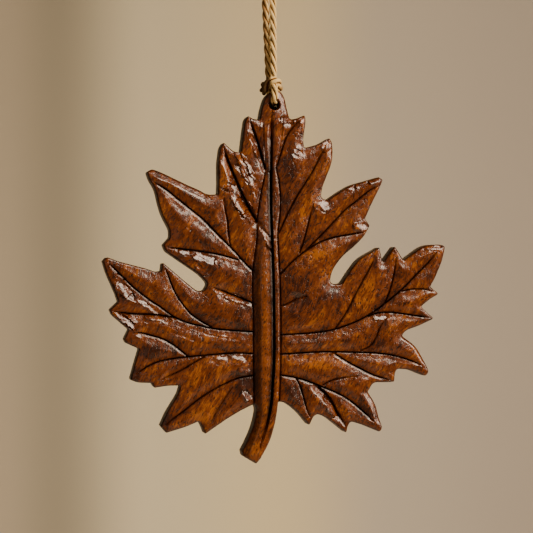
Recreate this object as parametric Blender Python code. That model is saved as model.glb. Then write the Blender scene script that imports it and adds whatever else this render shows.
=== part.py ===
"""Carved wooden maple leaf that hangs from a doubled twine.

Metres, +Z up. The carved front faces -Y and the flat back faces +Y. The origin is where the
loop of twine hangs, just under the top of its bend.
"""
import math

import bmesh
import bpy
import numpy as np
from mathutils import Vector
from mathutils.geometry import delaunay_2d_cdt

# Driving sizes of the leaf
LEAF_WIDTH = 0.1536
LEAF_HEIGHT = 0.1630
RIM_THICKNESS = 0.0074
RIM_ROUNDING = 0.0012
PANEL_RISE = 0.0016
PANEL_REACH = 0.0034
VEIN_DEPTH = 0.0017
VEIN_GENTLE_WIDTH = 0.0017
VEIN_STEEP_WIDTH = 0.0006
MIDRIB_RISE = 0.0022
MIDRIB_EDGE_DEPTH = 0.0013
SPLIT_DEPTH = 0.0034
SPLIT_HALF_WIDTH = 0.0008
RIM_CUT_DEPTH = 0.0016
MIDRIB_BED_SHARE = 0.5
NARROW_PART_SHARE = 0.5
MIDRIB_FULLNESS = 0.7
BACK_Y = (RIM_THICKNESS + PANEL_RISE / 2.0) / 2.0

# Driving sizes of the twine
TWINE_DIAMETER = 0.0031
HOLE_SLACK = 0.0017
LOOP_DROP = 0.0766
LOOP_LEAN = 0.0022
LOOP_BEND_IN_DIAMETERS = 2.15
KNOT_WIDTH = 0.0094
KNOT_HEIGHT = 0.0068
TOUCH_GAP = 0.0003
PASSAGE_GAP = 0.0004

# Corner rounding of the outline
TIP = 0.0008
NOTCH = 0.0007
WIDE = 0.0022
BEND = 0.0300

# Fineness of the faceted solids
OUTLINE_STEP = 0.0026
VEIN_STEP = 0.0030
PANEL_STEP = 0.0036
ARC_STEP = math.radians(34.0)
HOLE_SIDES = 18
TWINE_STEP = 0.0034
TWINE_BEVEL_STEPS = 2
KNOT_SIDES = 20
CORNER_ROOM = 0.48
RIM_CLEARANCE = 0.8 * RIM_ROUNDING
PANEL_CLEARANCE = 1.8 * RIM_ROUNDING
LINE_SPACING = 0.9 * VEIN_STEEP_WIDTH
PANEL_SPACING = 0.55 * PANEL_STEP
SAME_PLACE = 1e-6

# The drawing of the leaf counts squares to the right and downwards. It shows the leaf
# from DRAWING_TURN to its left and from DRAWING_DISTANCE away.
DRAWING_SQUARE = 0.00044
DRAWING_CENTRE = (266.5, 266.5)
DRAWING_TURN = math.radians(12.0)
DRAWING_DISTANCE = 0.65
DRAWING_HOLE = (274.5, 105.8)

TIP_AND_TEETH_LEFT = (
    (274.0, 92.8, BEND), (268.5, 94.6, WIDE), (265.2, 99.0, BEND), (262.0, 109.0, BEND),
    (259.8, 120.8, NOTCH), (253.0, 119.9, BEND), (248.6, 116.6, TIP), (245.6, 120.5, BEND),
    (243.6, 134.0, BEND), (241.4, 152.6, NOTCH), (235.3, 153.2, BEND), (230.0, 149.2, BEND),
    (224.0, 143.0, TIP), (220.6, 148.5, BEND), (218.6, 164.0, BEND), (218.8, 184.0, BEND),
    (218.4, 195.2, NOTCH),
)
UPPER_LOBE_LEFT = (
    (208.0, 195.6, BEND), (200.5, 190.9, BEND), (190.0, 186.5, BEND), (161.2, 172.7, BEND),
    (152.5, 169.6, WIDE), (147.4, 173.0, TIP), (149.6, 180.0, BEND), (156.0, 190.6, BEND),
    (158.6, 203.0, BEND), (162.0, 215.0, BEND), (170.4, 231.0, BEND), (170.2, 238.4, WIDE),
    (163.6, 245.6, TIP), (166.0, 252.0, BEND), (182.0, 263.0, BEND), (200.0, 275.2, BEND),
    (208.4, 284.5, WIDE), (204.0, 292.2, WIDE), (196.5, 291.0, WIDE),
)
LOWER_LOBE_LEFT = (
    (186.5, 283.0, BEND), (162.6, 262.6, TIP), (161.6, 271.8, NOTCH), (156.0, 272.6, BEND),
    (145.8, 269.0, BEND), (120.0, 262.4, BEND), (107.0, 257.6, WIDE), (103.2, 262.0, TIP),
    (106.8, 273.8, BEND), (115.6, 293.6, BEND), (118.8, 302.5, NOTCH), (110.2, 310.6, TIP),
    (112.6, 315.8, BEND), (129.2, 330.2, NOTCH), (124.6, 340.0, TIP), (126.2, 343.6, BEND),
    (139.6, 349.6, NOTCH), (135.8, 362.3, BEND), (130.8, 380.4, TIP), (138.0, 383.2, BEND),
    (152.0, 383.6, NOTCH), (155.0, 388.4, TIP), (168.0, 386.2, BEND),
)
BOTTOM_LOBE_LEFT = (
    (180.8, 386.0, NOTCH), (178.6, 394.4, BEND), (166.7, 413.8, BEND), (161.0, 426.6, TIP),
    (166.8, 433.4, TIP), (185.4, 427.7, BEND), (199.2, 421.8, NOTCH), (202.6, 427.4, BEND),
    (205.2, 434.8, TIP), (226.9, 419.6, BEND), (240.8, 411.2, BEND), (254.6, 404.2, NOTCH),
)
STEM = (
    (256.9, 410.0, BEND), (255.4, 419.0, BEND), (252.0, 430.8, BEND), (247.0, 442.3, BEND),
    (242.2, 451.6, TIP), (243.4, 456.6, TIP), (255.6, 463.6, TIP), (264.6, 452.3, BEND),
    (270.6, 440.6, BEND), (275.5, 423.0, BEND), (277.4, 411.0, BEND), (278.4, 402.0, NOTCH),
)
BOTTOM_LOBE_RIGHT = (
    (284.6, 402.8, BEND), (293.3, 408.3, BEND), (300.6, 415.2, BEND), (309.4, 426.2, TIP),
    (313.6, 417.0, BEND), (317.4, 414.4, WIDE), (326.0, 417.4, BEND), (335.3, 424.5, BEND),
    (346.6, 433.8, TIP), (347.6, 427.0, BEND), (350.8, 421.6, WIDE), (362.0, 425.0, BEND),
    (380.0, 432.4, WIDE), (382.4, 428.0, BEND), (379.5, 419.0, BEND), (375.8, 404.0, BEND),
    (368.2, 392.4, NOTCH), (373.0, 382.6, BEND),
)
LOWER_LOBE_RIGHT = (
    (383.0, 382.8, BEND), (394.4, 382.2, TIP), (394.8, 374.0, BEND), (397.0, 369.2, WIDE),
    (409.0, 370.0, BEND), (425.8, 376.8, WIDE), (429.0, 371.6, WIDE), (423.0, 359.0, BEND),
    (416.0, 346.6, BEND), (401.6, 336.0, WIDE), (406.5, 330.6, BEND), (419.0, 326.2, BEND),
    (434.0, 319.0, TIP), (427.0, 313.0, BEND), (421.2, 307.0, NOTCH), (430.0, 299.5, BEND),
    (438.8, 294.4, TIP), (430.2, 287.4, NOTCH), (435.0, 278.5, BEND), (442.0, 262.0, BEND),
    (445.2, 246.6, WIDE), (440.0, 245.2, BEND), (424.2, 245.6, BEND), (403.4, 261.0, NOTCH),
    (394.8, 246.6, TIP), (382.6, 263.4, NOTCH), (380.2, 252.0, BEND), (379.6, 247.6, TIP),
    (371.5, 252.5, BEND), (359.0, 259.4, BEND), (350.5, 271.0, BEND), (341.6, 284.6, WIDE),
)
UPPER_LOBE_RIGHT = (
    (329.6, 284.8, WIDE), (332.0, 271.6, BEND), (342.0, 257.2, BEND), (355.0, 246.6, BEND),
    (364.8, 236.4, BEND), (369.8, 226.4, TIP), (365.2, 219.6, NOTCH), (371.0, 206.0, BEND),
    (380.6, 186.8, BEND), (382.8, 180.6, TIP), (379.4, 177.8, TIP), (364.0, 182.2, BEND),
    (351.0, 185.7, BEND), (340.0, 192.2, BEND), (327.0, 201.2, WIDE), (321.0, 198.6, WIDE),
    (322.3, 188.5, BEND), (331.2, 166.2, BEND), (333.4, 155.0, BEND), (332.5, 143.4, BEND),
    (329.8, 138.8, TIP), (318.6, 145.4, BEND), (304.6, 148.8, NOTCH),
)
TEETH_RIGHT = (
    (303.2, 141.0, BEND), (305.9, 124.0, BEND), (305.4, 115.8, TIP), (297.0, 119.4, BEND),
    (290.4, 120.6, WIDE), (287.2, 109.0, BEND), (285.4, 99.4, BEND), (282.0, 93.2, BEND),
    (279.0, 91.6, BEND),
)
OUTLINE = (TIP_AND_TEETH_LEFT + UPPER_LOBE_LEFT + LOWER_LOBE_LEFT + BOTTOM_LOBE_LEFT + STEM
           + BOTTOM_LOBE_RIGHT + LOWER_LOBE_RIGHT + UPPER_LOBE_RIGHT + TEETH_RIGHT)

# Each vein: its depth and the width of its gentle side, as shares of the driving sizes, then
# its line in drawing squares, from the rim towards the midrib
VEINS = (
    (1.00, 1.50, ((249.0, 118.5), (252.2, 127.0), (256.7, 139.0), (260.2, 151.0),
                  (265.5, 169.5))),
    (1.05, 2.00, ((223.5, 147.5), (226.4, 156.0), (230.2, 165.3), (237.5, 183.0),
                  (245.2, 199.5), (250.2, 209.5), (257.2, 221.5), (263.0, 230.0),
                  (267.5, 243.0))),
    (0.45, 0.60, ((223.7, 199.0), (225.5, 211.0), (227.7, 222.0), (228.5, 233.0),
                  (230.2, 246.0))),
    (1.10, 1.10, ((152.0, 182.0), (157.4, 185.0), (166.4, 190.5), (175.4, 197.7),
                  (190.4, 209.8), (203.0, 220.0), (215.4, 232.5), (225.4, 242.7),
                  (235.7, 253.3), (245.4, 264.2), (253.0, 271.5))),
    (0.90, 1.00, ((166.0, 248.0), (180.2, 249.6), (202.3, 252.4), (220.3, 255.6),
                  (238.0, 260.5))),
    (0.80, 1.30, ((212.0, 288.0), (221.2, 291.0), (231.3, 294.8), (241.3, 298.7),
                  (252.5, 303.5))),
    (1.10, 1.10, ((109.0, 263.5), (115.3, 270.0), (125.4, 280.0), (135.4, 289.5),
                  (150.4, 301.0), (160.4, 307.5), (170.4, 315.0), (180.4, 320.5),
                  (190.4, 324.0), (205.4, 327.5), (220.4, 330.0), (253.0, 332.5))),
    (0.80, 0.70, ((164.2, 266.5), (167.3, 273.5), (171.3, 284.0), (176.1, 294.6),
                  (182.3, 304.0), (190.3, 313.8), (200.3, 321.3), (211.3, 327.5))),
    (0.90, 1.30, ((111.0, 311.5), (120.3, 313.0), (135.3, 314.6), (152.3, 315.0),
                  (163.3, 316.0), (174.3, 318.2))),
    (0.85, 0.90, ((132.0, 333.6), (141.3, 333.6), (152.3, 336.2), (163.3, 339.6),
                  (172.3, 344.5), (180.3, 350.5), (188.3, 357.0))),
    (0.80, 0.80, ((134.0, 376.0), (141.2, 371.3), (151.2, 365.3), (162.2, 361.3),
                  (178.2, 358.5), (195.2, 356.7), (215.2, 355.0), (235.2, 353.6),
                  (253.0, 354.2))),
    (0.50, 0.70, ((159.2, 381.5), (168.2, 377.0), (180.2, 371.5), (188.2, 367.0),
                  (196.2, 362.0), (204.2, 357.5))),
    (0.65, 0.90, ((165.2, 427.0), (171.2, 421.0), (185.2, 410.5), (200.2, 398.7),
                  (215.2, 389.3), (230.2, 381.7), (241.2, 378.0), (253.0, 376.0))),
    (0.35, 1.40, ((208.2, 428.0), (215.2, 414.5), (223.2, 401.5), (232.2, 388.0))),
    (0.50, 0.90, ((301.7, 119.5), (294.2, 127.0), (287.2, 136.5), (282.2, 150.0),
                  (277.2, 166.0))),
    (0.60, 0.80, ((325.2, 147.0), (320.2, 157.0), (313.2, 171.0), (304.7, 185.0),
                  (296.7, 197.5), (290.2, 209.5), (284.7, 221.0), (279.2, 233.0))),
    (0.65, 0.90, ((380.4, 185.5), (368.2, 192.3), (356.2, 202.0), (344.2, 211.5),
                  (330.2, 226.5), (318.2, 239.0), (305.2, 251.5), (292.2, 262.5),
                  (280.5, 275.0))),
    (0.80, 0.80, ((366.5, 232.5), (350.2, 235.3), (335.2, 238.0), (322.2, 242.0),
                  (311.2, 248.0), (303.2, 253.5))),
    (0.55, 0.80, ((312.7, 206.0), (309.7, 218.0), (307.0, 229.0), (303.2, 243.0),
                  (299.7, 253.0))),
    (0.45, 0.70, ((306.0, 297.0), (297.2, 299.5), (289.2, 303.5), (280.5, 307.0))),
    (0.85, 0.95, ((436.0, 253.0), (427.2, 264.0), (415.2, 276.0), (402.2, 289.5),
                  (390.2, 299.5), (378.2, 309.0), (365.2, 317.5), (350.2, 324.5),
                  (332.2, 330.5), (312.2, 333.5), (280.5, 335.5))),
    (0.50, 0.70, ((395.5, 258.0), (394.7, 268.0), (392.5, 280.0), (388.7, 293.0),
                  (384.2, 304.0))),
    (0.50, 0.90, ((375.5, 255.0), (370.2, 267.5), (362.2, 282.0), (354.2, 297.0),
                  (346.2, 313.0), (335.2, 329.0))),
    (0.55, 0.60, ((435.0, 293.0), (424.2, 290.0), (411.2, 290.0), (401.2, 292.0))),
    (0.95, 0.90, ((431.0, 318.5), (415.2, 316.3), (400.2, 314.0), (387.2, 312.8),
                  (376.2, 314.0), (368.2, 317.0))),
    (0.45, 0.80, ((386.2, 318.5), (379.7, 328.0), (375.7, 338.0), (370.2, 346.0),
                  (361.2, 351.0))),
    (0.95, 0.90, ((421.5, 366.0), (410.2, 361.0), (395.2, 356.5), (378.2, 353.8),
                  (355.2, 352.8), (320.2, 352.5), (280.5, 354.8))),
    (0.90, 1.30, ((392.0, 381.3), (372.2, 375.0), (360.2, 369.0), (348.2, 362.8),
                  (335.2, 354.5))),
    (0.95, 0.90, ((375.0, 423.0), (364.2, 413.0), (351.2, 402.0), (338.2, 394.0),
                  (322.2, 387.3), (308.2, 381.8), (295.2, 378.0), (280.5, 375.5))),
    (0.75, 0.60, ((310.0, 418.0), (306.7, 409.5), (303.2, 397.0), (299.7, 386.0),
                  (296.2, 379.0))),
    (0.90, 2.00, ((345.2, 427.5), (341.2, 419.0), (336.7, 411.0), (331.2, 400.5),
                  (325.2, 393.0), (318.2, 387.0))),
    (0.45, 0.60, ((356.0, 376.5), (343.2, 378.3), (333.2, 380.3), (323.2, 385.0))),
)

# Slanting cuts along the rim: their width, then the stretch of rim that they follow
RIM_CUTS = (
    (0.0030, ((152.5, 169.6), (175.0, 178.6), (190.0, 186.0), (205.0, 193.4))),
    (0.0026, ((280.0, 92.0), (285.6, 99.4), (287.4, 109.0), (290.4, 120.0))),
    (0.0016, ((329.6, 139.0), (332.0, 146.0), (332.8, 156.0))),
    (0.0016, ((352.0, 185.2), (366.0, 181.6), (380.0, 178.0))),
    (0.0014, ((403.0, 337.0), (415.0, 345.6), (424.0, 361.0))),
    (0.0013, ((424.0, 245.4), (443.0, 245.4))),
    (0.0024, ((369.0, 393.0), (375.8, 404.0), (379.5, 419.0))),
)

# The midrib: its left edge, the deep split that parts it, and its right edge
MIDRIB_LEFT = ((263.0, 112.0), (263.5, 140.0), (265.3, 169.5), (261.4, 192.0),
               (259.0, 206.5), (257.2, 220.5), (256.8, 240.0), (254.8, 256.5),
               (252.8, 272.0), (252.6, 295.0), (253.4, 320.0), (253.3, 345.0),
               (253.6, 375.0), (254.0, 405.0), (256.4, 412.0), (252.0, 431.0),
               (247.0, 443.0), (242.0, 453.0))
MIDRIB_SPLIT = ((274.3, 111.5), (273.4, 123.0), (273.4, 139.0), (272.9, 166.0),
                (272.6, 192.0), (272.8, 218.0), (273.5, 249.0), (274.2, 280.0),
                (274.6, 308.0), (274.9, 338.0), (274.7, 360.0), (273.7, 378.0),
                (272.3, 400.0), (270.3, 413.0), (267.4, 426.0), (264.0, 436.0),
                (260.8, 447.0))
MIDRIB_RIGHT = ((284.0, 112.0), (281.0, 140.0), (276.3, 166.0), (278.8, 181.0),
                (280.5, 200.0), (279.6, 218.0), (277.8, 235.0), (278.4, 252.0),
                (279.5, 270.0), (280.2, 290.0), (280.7, 320.0), (280.7, 350.0),
                (280.3, 375.0), (279.2, 401.0), (276.0, 423.0), (270.0, 442.0),
                (260.0, 461.0))
MIDRIB_FADE_TOP = 112.0
MIDRIB_FULL_FROM = 250.0
EDGE_LINE_END = 406.0

# Which way the gentle side of a vein lies: down and a little to the left
GENTLE_SIDE = np.array((-0.45, -0.89))
SIDE_BLEND = 1.5
VEIN_FADE_IN = 0.0060
VEIN_CLEARANCE = 0.0010
FAINTEST_START = 0.05

# The strand from the knot up to the bend: how far up, how far out and how far forward,
# the first as a share of the way, the others in twine diameters
STRAND = (
    (0.00, 0.27, 0.51), (0.08, 0.29, 0.50), (0.20, 0.38, 0.42), (0.35, 0.50, 0.25),
    (0.50, 0.55, 0.08), (0.60, 0.58, 0.00), (0.72, 0.75, 0.00), (0.84, 1.20, 0.00),
    (0.94, 1.85, 0.00),
)

# The knot from the top down: how far down, its half width and its half depth, as shares of
# the knot's height, width and underside depth
KNOT_RINGS = (
    (0.00, 0.34, 0.24), (0.08, 0.46, 0.33), (0.22, 0.50, 0.38), (0.38, 0.45, 0.37),
    (0.50, 0.46, 0.41), (0.68, 0.50, 0.46), (0.88, 0.47, 0.50), (1.00, 0.38, 0.47),
)

# Finishes, and the angle from which an edge is shaded sharp
WOOD_COLOUR = (0.235, 0.072, 0.014, 1.0)
TWINE_COLOUR = (0.56, 0.38, 0.19, 1.0)
WOOD_SHARP = math.radians(30.0)
KNOT_SHARP = math.radians(50.0)


def read_drawing(points):
    """Undo the turn and the distance of the drawing, and give flat places in metres."""
    squares = np.array([(point[0], point[1]) for point in points], dtype=float)
    across = (squares[:, 0] - DRAWING_CENTRE[0]) * DRAWING_SQUARE / DRAWING_DISTANCE
    turned = math.cos(DRAWING_TURN) - across * math.sin(DRAWING_TURN)
    x = across * DRAWING_DISTANCE / turned
    nearness = 1.0 + x * math.sin(DRAWING_TURN) / DRAWING_DISTANCE
    z = (DRAWING_CENTRE[1] - squares[:, 1]) * DRAWING_SQUARE * nearness
    return np.column_stack((x, z))


def on_leaf(points):
    """Places of drawing points on the leaf, as rows of x and z."""
    drawn = read_drawing(OUTLINE)
    extent = drawn.max(axis=0) - drawn.min(axis=0)
    scale = np.array((LEAF_WIDTH, LEAF_HEIGHT)) / extent
    hole = read_drawing((DRAWING_HOLE,))[0]
    return (read_drawing(points) - hole) * scale + np.array((LOOP_LEAN, -LOOP_DROP))


def rounded_loop(corners, radii, step, arc_step):
    """A closed loop with its corners rounded, as points at most step apart."""
    loop = []
    count = len(corners)
    for index in range(count):
        here = corners[index]
        into = here - corners[index - 1]
        out = corners[(index + 1) % count] - here
        room = CORNER_ROOM * min(np.linalg.norm(into), np.linalg.norm(out))
        into = into / np.linalg.norm(into)
        out = out / np.linalg.norm(out)
        turn = math.acos(max(-1.0, min(1.0, float(into @ out))))
        reach = min(radii[index] * math.tan(turn / 2.0), room)
        start = here - into * reach
        end = here + out * reach
        pieces = max(math.ceil(turn / arc_step), math.ceil(2.0 * reach / step))
        for piece in range(pieces + 1):
            t = piece / pieces
            loop.append((1.0 - t) ** 2 * start + 2.0 * t * (1.0 - t) * here + t ** 2 * end)
    filled = []
    for index, point in enumerate(loop):
        ahead = loop[(index + 1) % len(loop)]
        pieces = max(1, math.ceil(np.linalg.norm(ahead - point) / step))
        filled.extend(point + (ahead - point) * k / pieces for k in range(pieces))
    return np.array(filled)


def smooth_line(points, step):
    """Points about step apart on a smooth curve through the given ones."""
    known = np.array(points, dtype=float)
    ends = (2.0 * known[0] - known[1], 2.0 * known[-1] - known[-2])
    padded = np.vstack((ends[0], known, ends[1]))
    line = []
    for index in range(1, len(padded) - 2):
        a, b, c, d = padded[index - 1:index + 3]
        pieces = max(1, math.ceil(np.linalg.norm(c - b) / step))
        for piece in range(pieces):
            t = piece / pieces
            line.append(0.5 * (2.0 * b + (c - a) * t + (2.0 * a - 5.0 * b + 4.0 * c - d) * t ** 2
                               + (3.0 * b - a - 3.0 * c + d) * t ** 3))
    line.append(known[-1])
    return np.array(line)


def nearest_on_line(points, line):
    """Distance to a line, the share of the way along it, and the offset from it."""
    distance = np.full(len(points), np.inf)
    along = np.zeros(len(points))
    offset = np.zeros((len(points), 2))
    lengths = np.linalg.norm(np.diff(line, axis=0), axis=1)
    total = lengths.sum()
    passed = 0.0
    for start, end, length in zip(line[:-1], line[1:], lengths):
        direction = (end - start) / length
        t = np.clip((points - start) @ direction, 0.0, length)
        away = points - start - t[:, None] * direction
        reach = np.linalg.norm(away, axis=1)
        closer = reach < distance
        distance[closer] = reach[closer]
        along[closer] = (passed + t[closer]) / total
        offset[closer] = away[closer]
        passed += length
    return distance, along, offset


def inside(points, loop):
    """Which of the points lie inside a closed loop."""
    result = np.zeros(len(points), dtype=bool)
    for start, end in zip(loop, np.roll(loop, -1, axis=0)):
        if start[1] == end[1]:
            continue
        crosses = (points[:, 1] < start[1]) != (points[:, 1] < end[1])
        where = start[0] + (points[:, 1] - start[1]) * (end[0] - start[0]) / (end[1] - start[1])
        result ^= crosses & (points[:, 0] < where)
    return result


def hole_radius():
    """Radius of the drilled hole, from the twine and its slack."""
    return (TWINE_DIAMETER + HOLE_SLACK) / 2.0


def hole_loop(radius, sides):
    """Points round the drilled hole."""
    turns = np.arange(sides) * 2.0 * math.pi / sides
    return np.column_stack((LOOP_LEAN + radius * np.cos(turns),
                            -LOOP_DROP + radius * np.sin(turns)))


def midrib_places(z):
    """Left edge, split and right edge of the midrib at the given heights."""
    edges = []
    for line in (MIDRIB_LEFT, MIDRIB_SPLIT, MIDRIB_RIGHT):
        places = on_leaf(line)[::-1]
        edges.append(np.interp(z, places[:, 1], places[:, 0]))
    return edges


def midrib_rise(points):
    """Height of the midrib over the panels, and where the midrib is."""
    left, split, right = midrib_places(points[:, 1])
    top, full = on_leaf(((0.0, MIDRIB_FADE_TOP), (0.0, MIDRIB_FULL_FROM)))[:, 1]
    fade = np.clip((top - points[:, 1]) / (top - full), 0.0, 1.0)
    wide = np.clip((points[:, 0] - left) / (split - left), 0.0, 1.0)
    narrow = np.clip((points[:, 0] - split) / (right - split), 0.0, 1.0)
    wide_part = (1.0 - (2.0 * wide - 1.0) ** 2) ** MIDRIB_FULLNESS
    narrow_part = (1.0 - (2.0 * narrow - 1.0) ** 2) ** MIDRIB_FULLNESS
    rise = np.maximum(wide_part, NARROW_PART_SHARE * narrow_part)
    within = (points[:, 0] > left) & (points[:, 0] < right) & (fade > 0.0)
    return MIDRIB_RISE * fade * rise * within, within


def cut_lines(step):
    """Every carved line: its points, its depth, and the widths of its two sides."""
    lines = []
    for depth, width, points in VEINS:
        lines.append((smooth_line(on_leaf(points), step), depth * VEIN_DEPTH,
                      width * VEIN_GENTLE_WIDTH, VEIN_STEEP_WIDTH))
    for points in (MIDRIB_LEFT, MIDRIB_RIGHT):
        edge = on_leaf([point for point in points if point[1] <= EDGE_LINE_END])
        lines.append((smooth_line(edge, step), MIDRIB_EDGE_DEPTH, VEIN_STEEP_WIDTH,
                      VEIN_STEEP_WIDTH))
    lines.append((smooth_line(on_leaf(MIDRIB_SPLIT), step), SPLIT_DEPTH, SPLIT_HALF_WIDTH,
                  SPLIT_HALF_WIDTH))
    return lines


def front_height(points, outline, lines):
    """Height of the carved front above the flat back at each point."""
    rim, _, _ = nearest_on_line(points, np.vstack((outline, outline[:1])))
    nearest = rim.copy()
    cut = np.zeros(len(points))
    for line, depth, gentle, steep in lines:
        distance, along, offset = nearest_on_line(points, line)
        length = np.linalg.norm(np.diff(line, axis=0), axis=1).sum()
        side = offset @ GENTLE_SIDE / np.maximum(distance, SAME_PLACE)
        width = steep + (gentle - steep) * np.clip(0.5 + SIDE_BLEND * side, 0.0, 1.0)
        start = np.clip(along * length / VEIN_FADE_IN, 0.0, 1.0)
        cut = np.maximum(cut, depth * start * np.clip(1.0 - distance / width, 0.0, 1.0))
        nearest = np.minimum(nearest, distance / np.maximum(start, FAINTEST_START))
    for width, stretch in RIM_CUTS:
        distance, _, _ = nearest_on_line(points, on_leaf(stretch))
        cut = np.maximum(cut, RIM_CUT_DEPTH * np.clip(1.0 - distance / width, 0.0, 1.0))
    rise, on_midrib = midrib_rise(points)
    panel = PANEL_RISE * (1.0 - np.exp(-(nearest / PANEL_REACH) ** 2))
    panel[on_midrib] = np.minimum(panel, PANEL_RISE * MIDRIB_BED_SHARE)[on_midrib]
    roll = np.clip(1.0 - rim / RIM_ROUNDING, 0.0, 1.0)
    rounding = RIM_ROUNDING * (1.0 - np.sqrt(1.0 - roll ** 2))
    return RIM_THICKNESS + panel + rise - cut - rounding


def sheet_points(outline, hole, lines):
    """Points of the front: rim, hole, carved lines with their shoulders, and panels."""
    closed = np.vstack((outline, outline[:1]))
    points = [tuple(point) for point in outline] + [tuple(point) for point in hole]
    edges = [(k, (k + 1) % len(outline)) for k in range(len(outline))]
    edges += [(len(outline) + k, len(outline) + (k + 1) % len(hole)) for k in range(len(hole))]

    def free(candidates, clearance):
        rim, _, _ = nearest_on_line(candidates, closed)
        round_hole = np.linalg.norm(candidates - (LOOP_LEAN, -LOOP_DROP), axis=1)
        return (inside(candidates, outline) & (rim > clearance)
                & (round_hole > hole_radius() + clearance))

    shoulders = []
    for line, _, gentle, steep in lines:
        keep = free(line, VEIN_CLEARANCE)
        before = None
        for point, kept in zip(line, keep):
            if kept:
                points.append(tuple(point))
                if before is not None:
                    edges.append((before, len(points) - 1))
                before = len(points) - 1
            else:
                before = None
        run = np.gradient(line, axis=0)
        across = np.column_stack((run[:, 1], -run[:, 0]))
        across /= np.linalg.norm(across, axis=1)[:, None]
        across *= np.sign(across @ GENTLE_SIDE)[:, None]
        shoulders += [line + across * gentle, line - across * steep]
    run = np.roll(closed[:-1], -1, axis=0) - np.roll(closed[:-1], 1, axis=0)
    inward = np.column_stack((-run[:, 1], run[:, 0]))
    inward /= np.linalg.norm(inward, axis=1)[:, None]
    shoulders.append(outline + inward * RIM_ROUNDING)
    loose = np.vstack(shoulders)
    loose = loose[free(loose, RIM_CLEARANCE)]
    low = outline.min(axis=0)
    high = outline.max(axis=0)
    grid = []
    for row, z in enumerate(np.arange(low[1], high[1], PANEL_STEP * math.sqrt(0.75))):
        for x in np.arange(low[0] + (row % 2) * PANEL_STEP / 2.0, high[0], PANEL_STEP):
            grid.append((x, z))
    grid = np.array(grid)
    grid = grid[free(grid, PANEL_CLEARANCE)]
    taken = np.array(points[len(outline) + len(hole):])
    for candidates, spacing in ((loose, LINE_SPACING), (grid, PANEL_SPACING)):
        for candidate in candidates:
            if np.min(np.linalg.norm(taken - candidate, axis=1)) > spacing:
                taken = np.vstack((taken, candidate))
                points.append(tuple(candidate))
    return points, edges


def make_leaf(outline, lines):
    """The leaf: a carved front sheet, straight walls round the rim and the hole, a flat back."""
    hole = hole_loop(hole_radius(), HOLE_SIDES)
    points, edges = sheet_points(outline, hole, lines)
    flat, _, faces, _, _, _ = delaunay_2d_cdt([Vector(point) for point in points], edges, [],
                                              1, SAME_PLACE)
    places = np.array([tuple(point) for point in flat])
    heights = front_height(places, outline, lines)
    centre = np.array((LOOP_LEAN, -LOOP_DROP))
    mesh = bmesh.new()
    verts = [mesh.verts.new((x, BACK_Y - height, z)) for (x, z), height in zip(places, heights)]
    for face in faces:
        middle = places[list(face)].mean(axis=0)
        if np.linalg.norm(middle - centre) > hole_radius() * math.cos(math.pi / HOLE_SIDES):
            mesh.faces.new([verts[k] for k in face])
    loose = [vert for vert in mesh.verts if not vert.link_faces]
    bmesh.ops.delete(mesh, geom=loose, context="VERTS")
    rim = [edge for edge in mesh.edges if edge.is_boundary]
    walls = bmesh.ops.extrude_edge_only(mesh, edges=rim)["geom"]
    for vert in walls:
        if isinstance(vert, bmesh.types.BMVert):
            vert.co.y = BACK_Y
    back_edges = [edge for edge in walls if isinstance(edge, bmesh.types.BMEdge)
                  and edge.is_boundary]
    bmesh.ops.triangle_fill(mesh, use_beauty=True, use_dissolve=False, edges=back_edges)
    bmesh.ops.recalc_face_normals(mesh, faces=mesh.faces)
    return mesh_object("leaf", mesh, WOOD_SHARP)


def tube(name, route, diameter):
    """A round tube along a route, with closed ends."""
    curve = bpy.data.curves.new(name, "CURVE")
    curve.dimensions = "3D"
    curve.bevel_depth = diameter / 2.0
    curve.bevel_resolution = TWINE_BEVEL_STEPS
    curve.use_fill_caps = True
    spline = curve.splines.new("POLY")
    spline.points.add(len(route) - 1)
    for point, place in zip(spline.points, route):
        point.co = (place[0], place[1], place[2], 1.0)
    return bpy.data.objects.new(name, curve)


def lean_at(z):
    """How far to the right the twine stands at a height, because it hangs a little askew."""
    return LOOP_LEAN * z / -LOOP_DROP


def make_loop(knot_top):
    """The loop: up one strand from the knot, round the bend and down the other strand."""
    bend = LOOP_BEND_IN_DIAMETERS * TWINE_DIAMETER
    bend_height = TWINE_DIAMETER / 2.0 - bend
    foot = knot_top + TOUCH_GAP
    right = []
    for share, spread, forward in STRAND:
        z = foot + share * (bend_height - foot)
        right.append((lean_at(z) + spread * TWINE_DIAMETER, -forward * TWINE_DIAMETER, z))
    over = []
    for turn in (0.0, 45.0, 90.0, 135.0, 180.0):
        angle = math.radians(turn)
        over.append((bend * math.cos(angle), 0.0, bend_height + bend * math.sin(angle)))
    left = [(2.0 * lean_at(z) - x, -y, z) for x, y, z in reversed(right)]
    return tube("twine_loop", smooth_line(right + over + left, TWINE_STEP), TWINE_DIAMETER)


def make_knot(knot_top, under_depth):
    """The knot: two rounded wraps, deeper below, where both strands come out."""
    mesh = bmesh.new()
    rings = []
    for down, half_width, half_depth in KNOT_RINGS:
        z = knot_top - down * KNOT_HEIGHT
        ring = []
        for side in range(KNOT_SIDES):
            angle = side * 2.0 * math.pi / KNOT_SIDES
            ring.append(mesh.verts.new((lean_at(z) + KNOT_WIDTH * half_width * math.cos(angle),
                                        under_depth * half_depth * math.sin(angle), z)))
        rings.append(ring)
    for upper, lower in zip(rings[:-1], rings[1:]):
        for side in range(KNOT_SIDES):
            after = (side + 1) % KNOT_SIDES
            mesh.faces.new((upper[side], upper[after], lower[after], lower[side]))
    mesh.faces.new(rings[0])
    mesh.faces.new(rings[-1])
    bmesh.ops.recalc_face_normals(mesh, faces=mesh.faces)
    return mesh_object("twine_knot", mesh, KNOT_SHARP)


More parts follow.
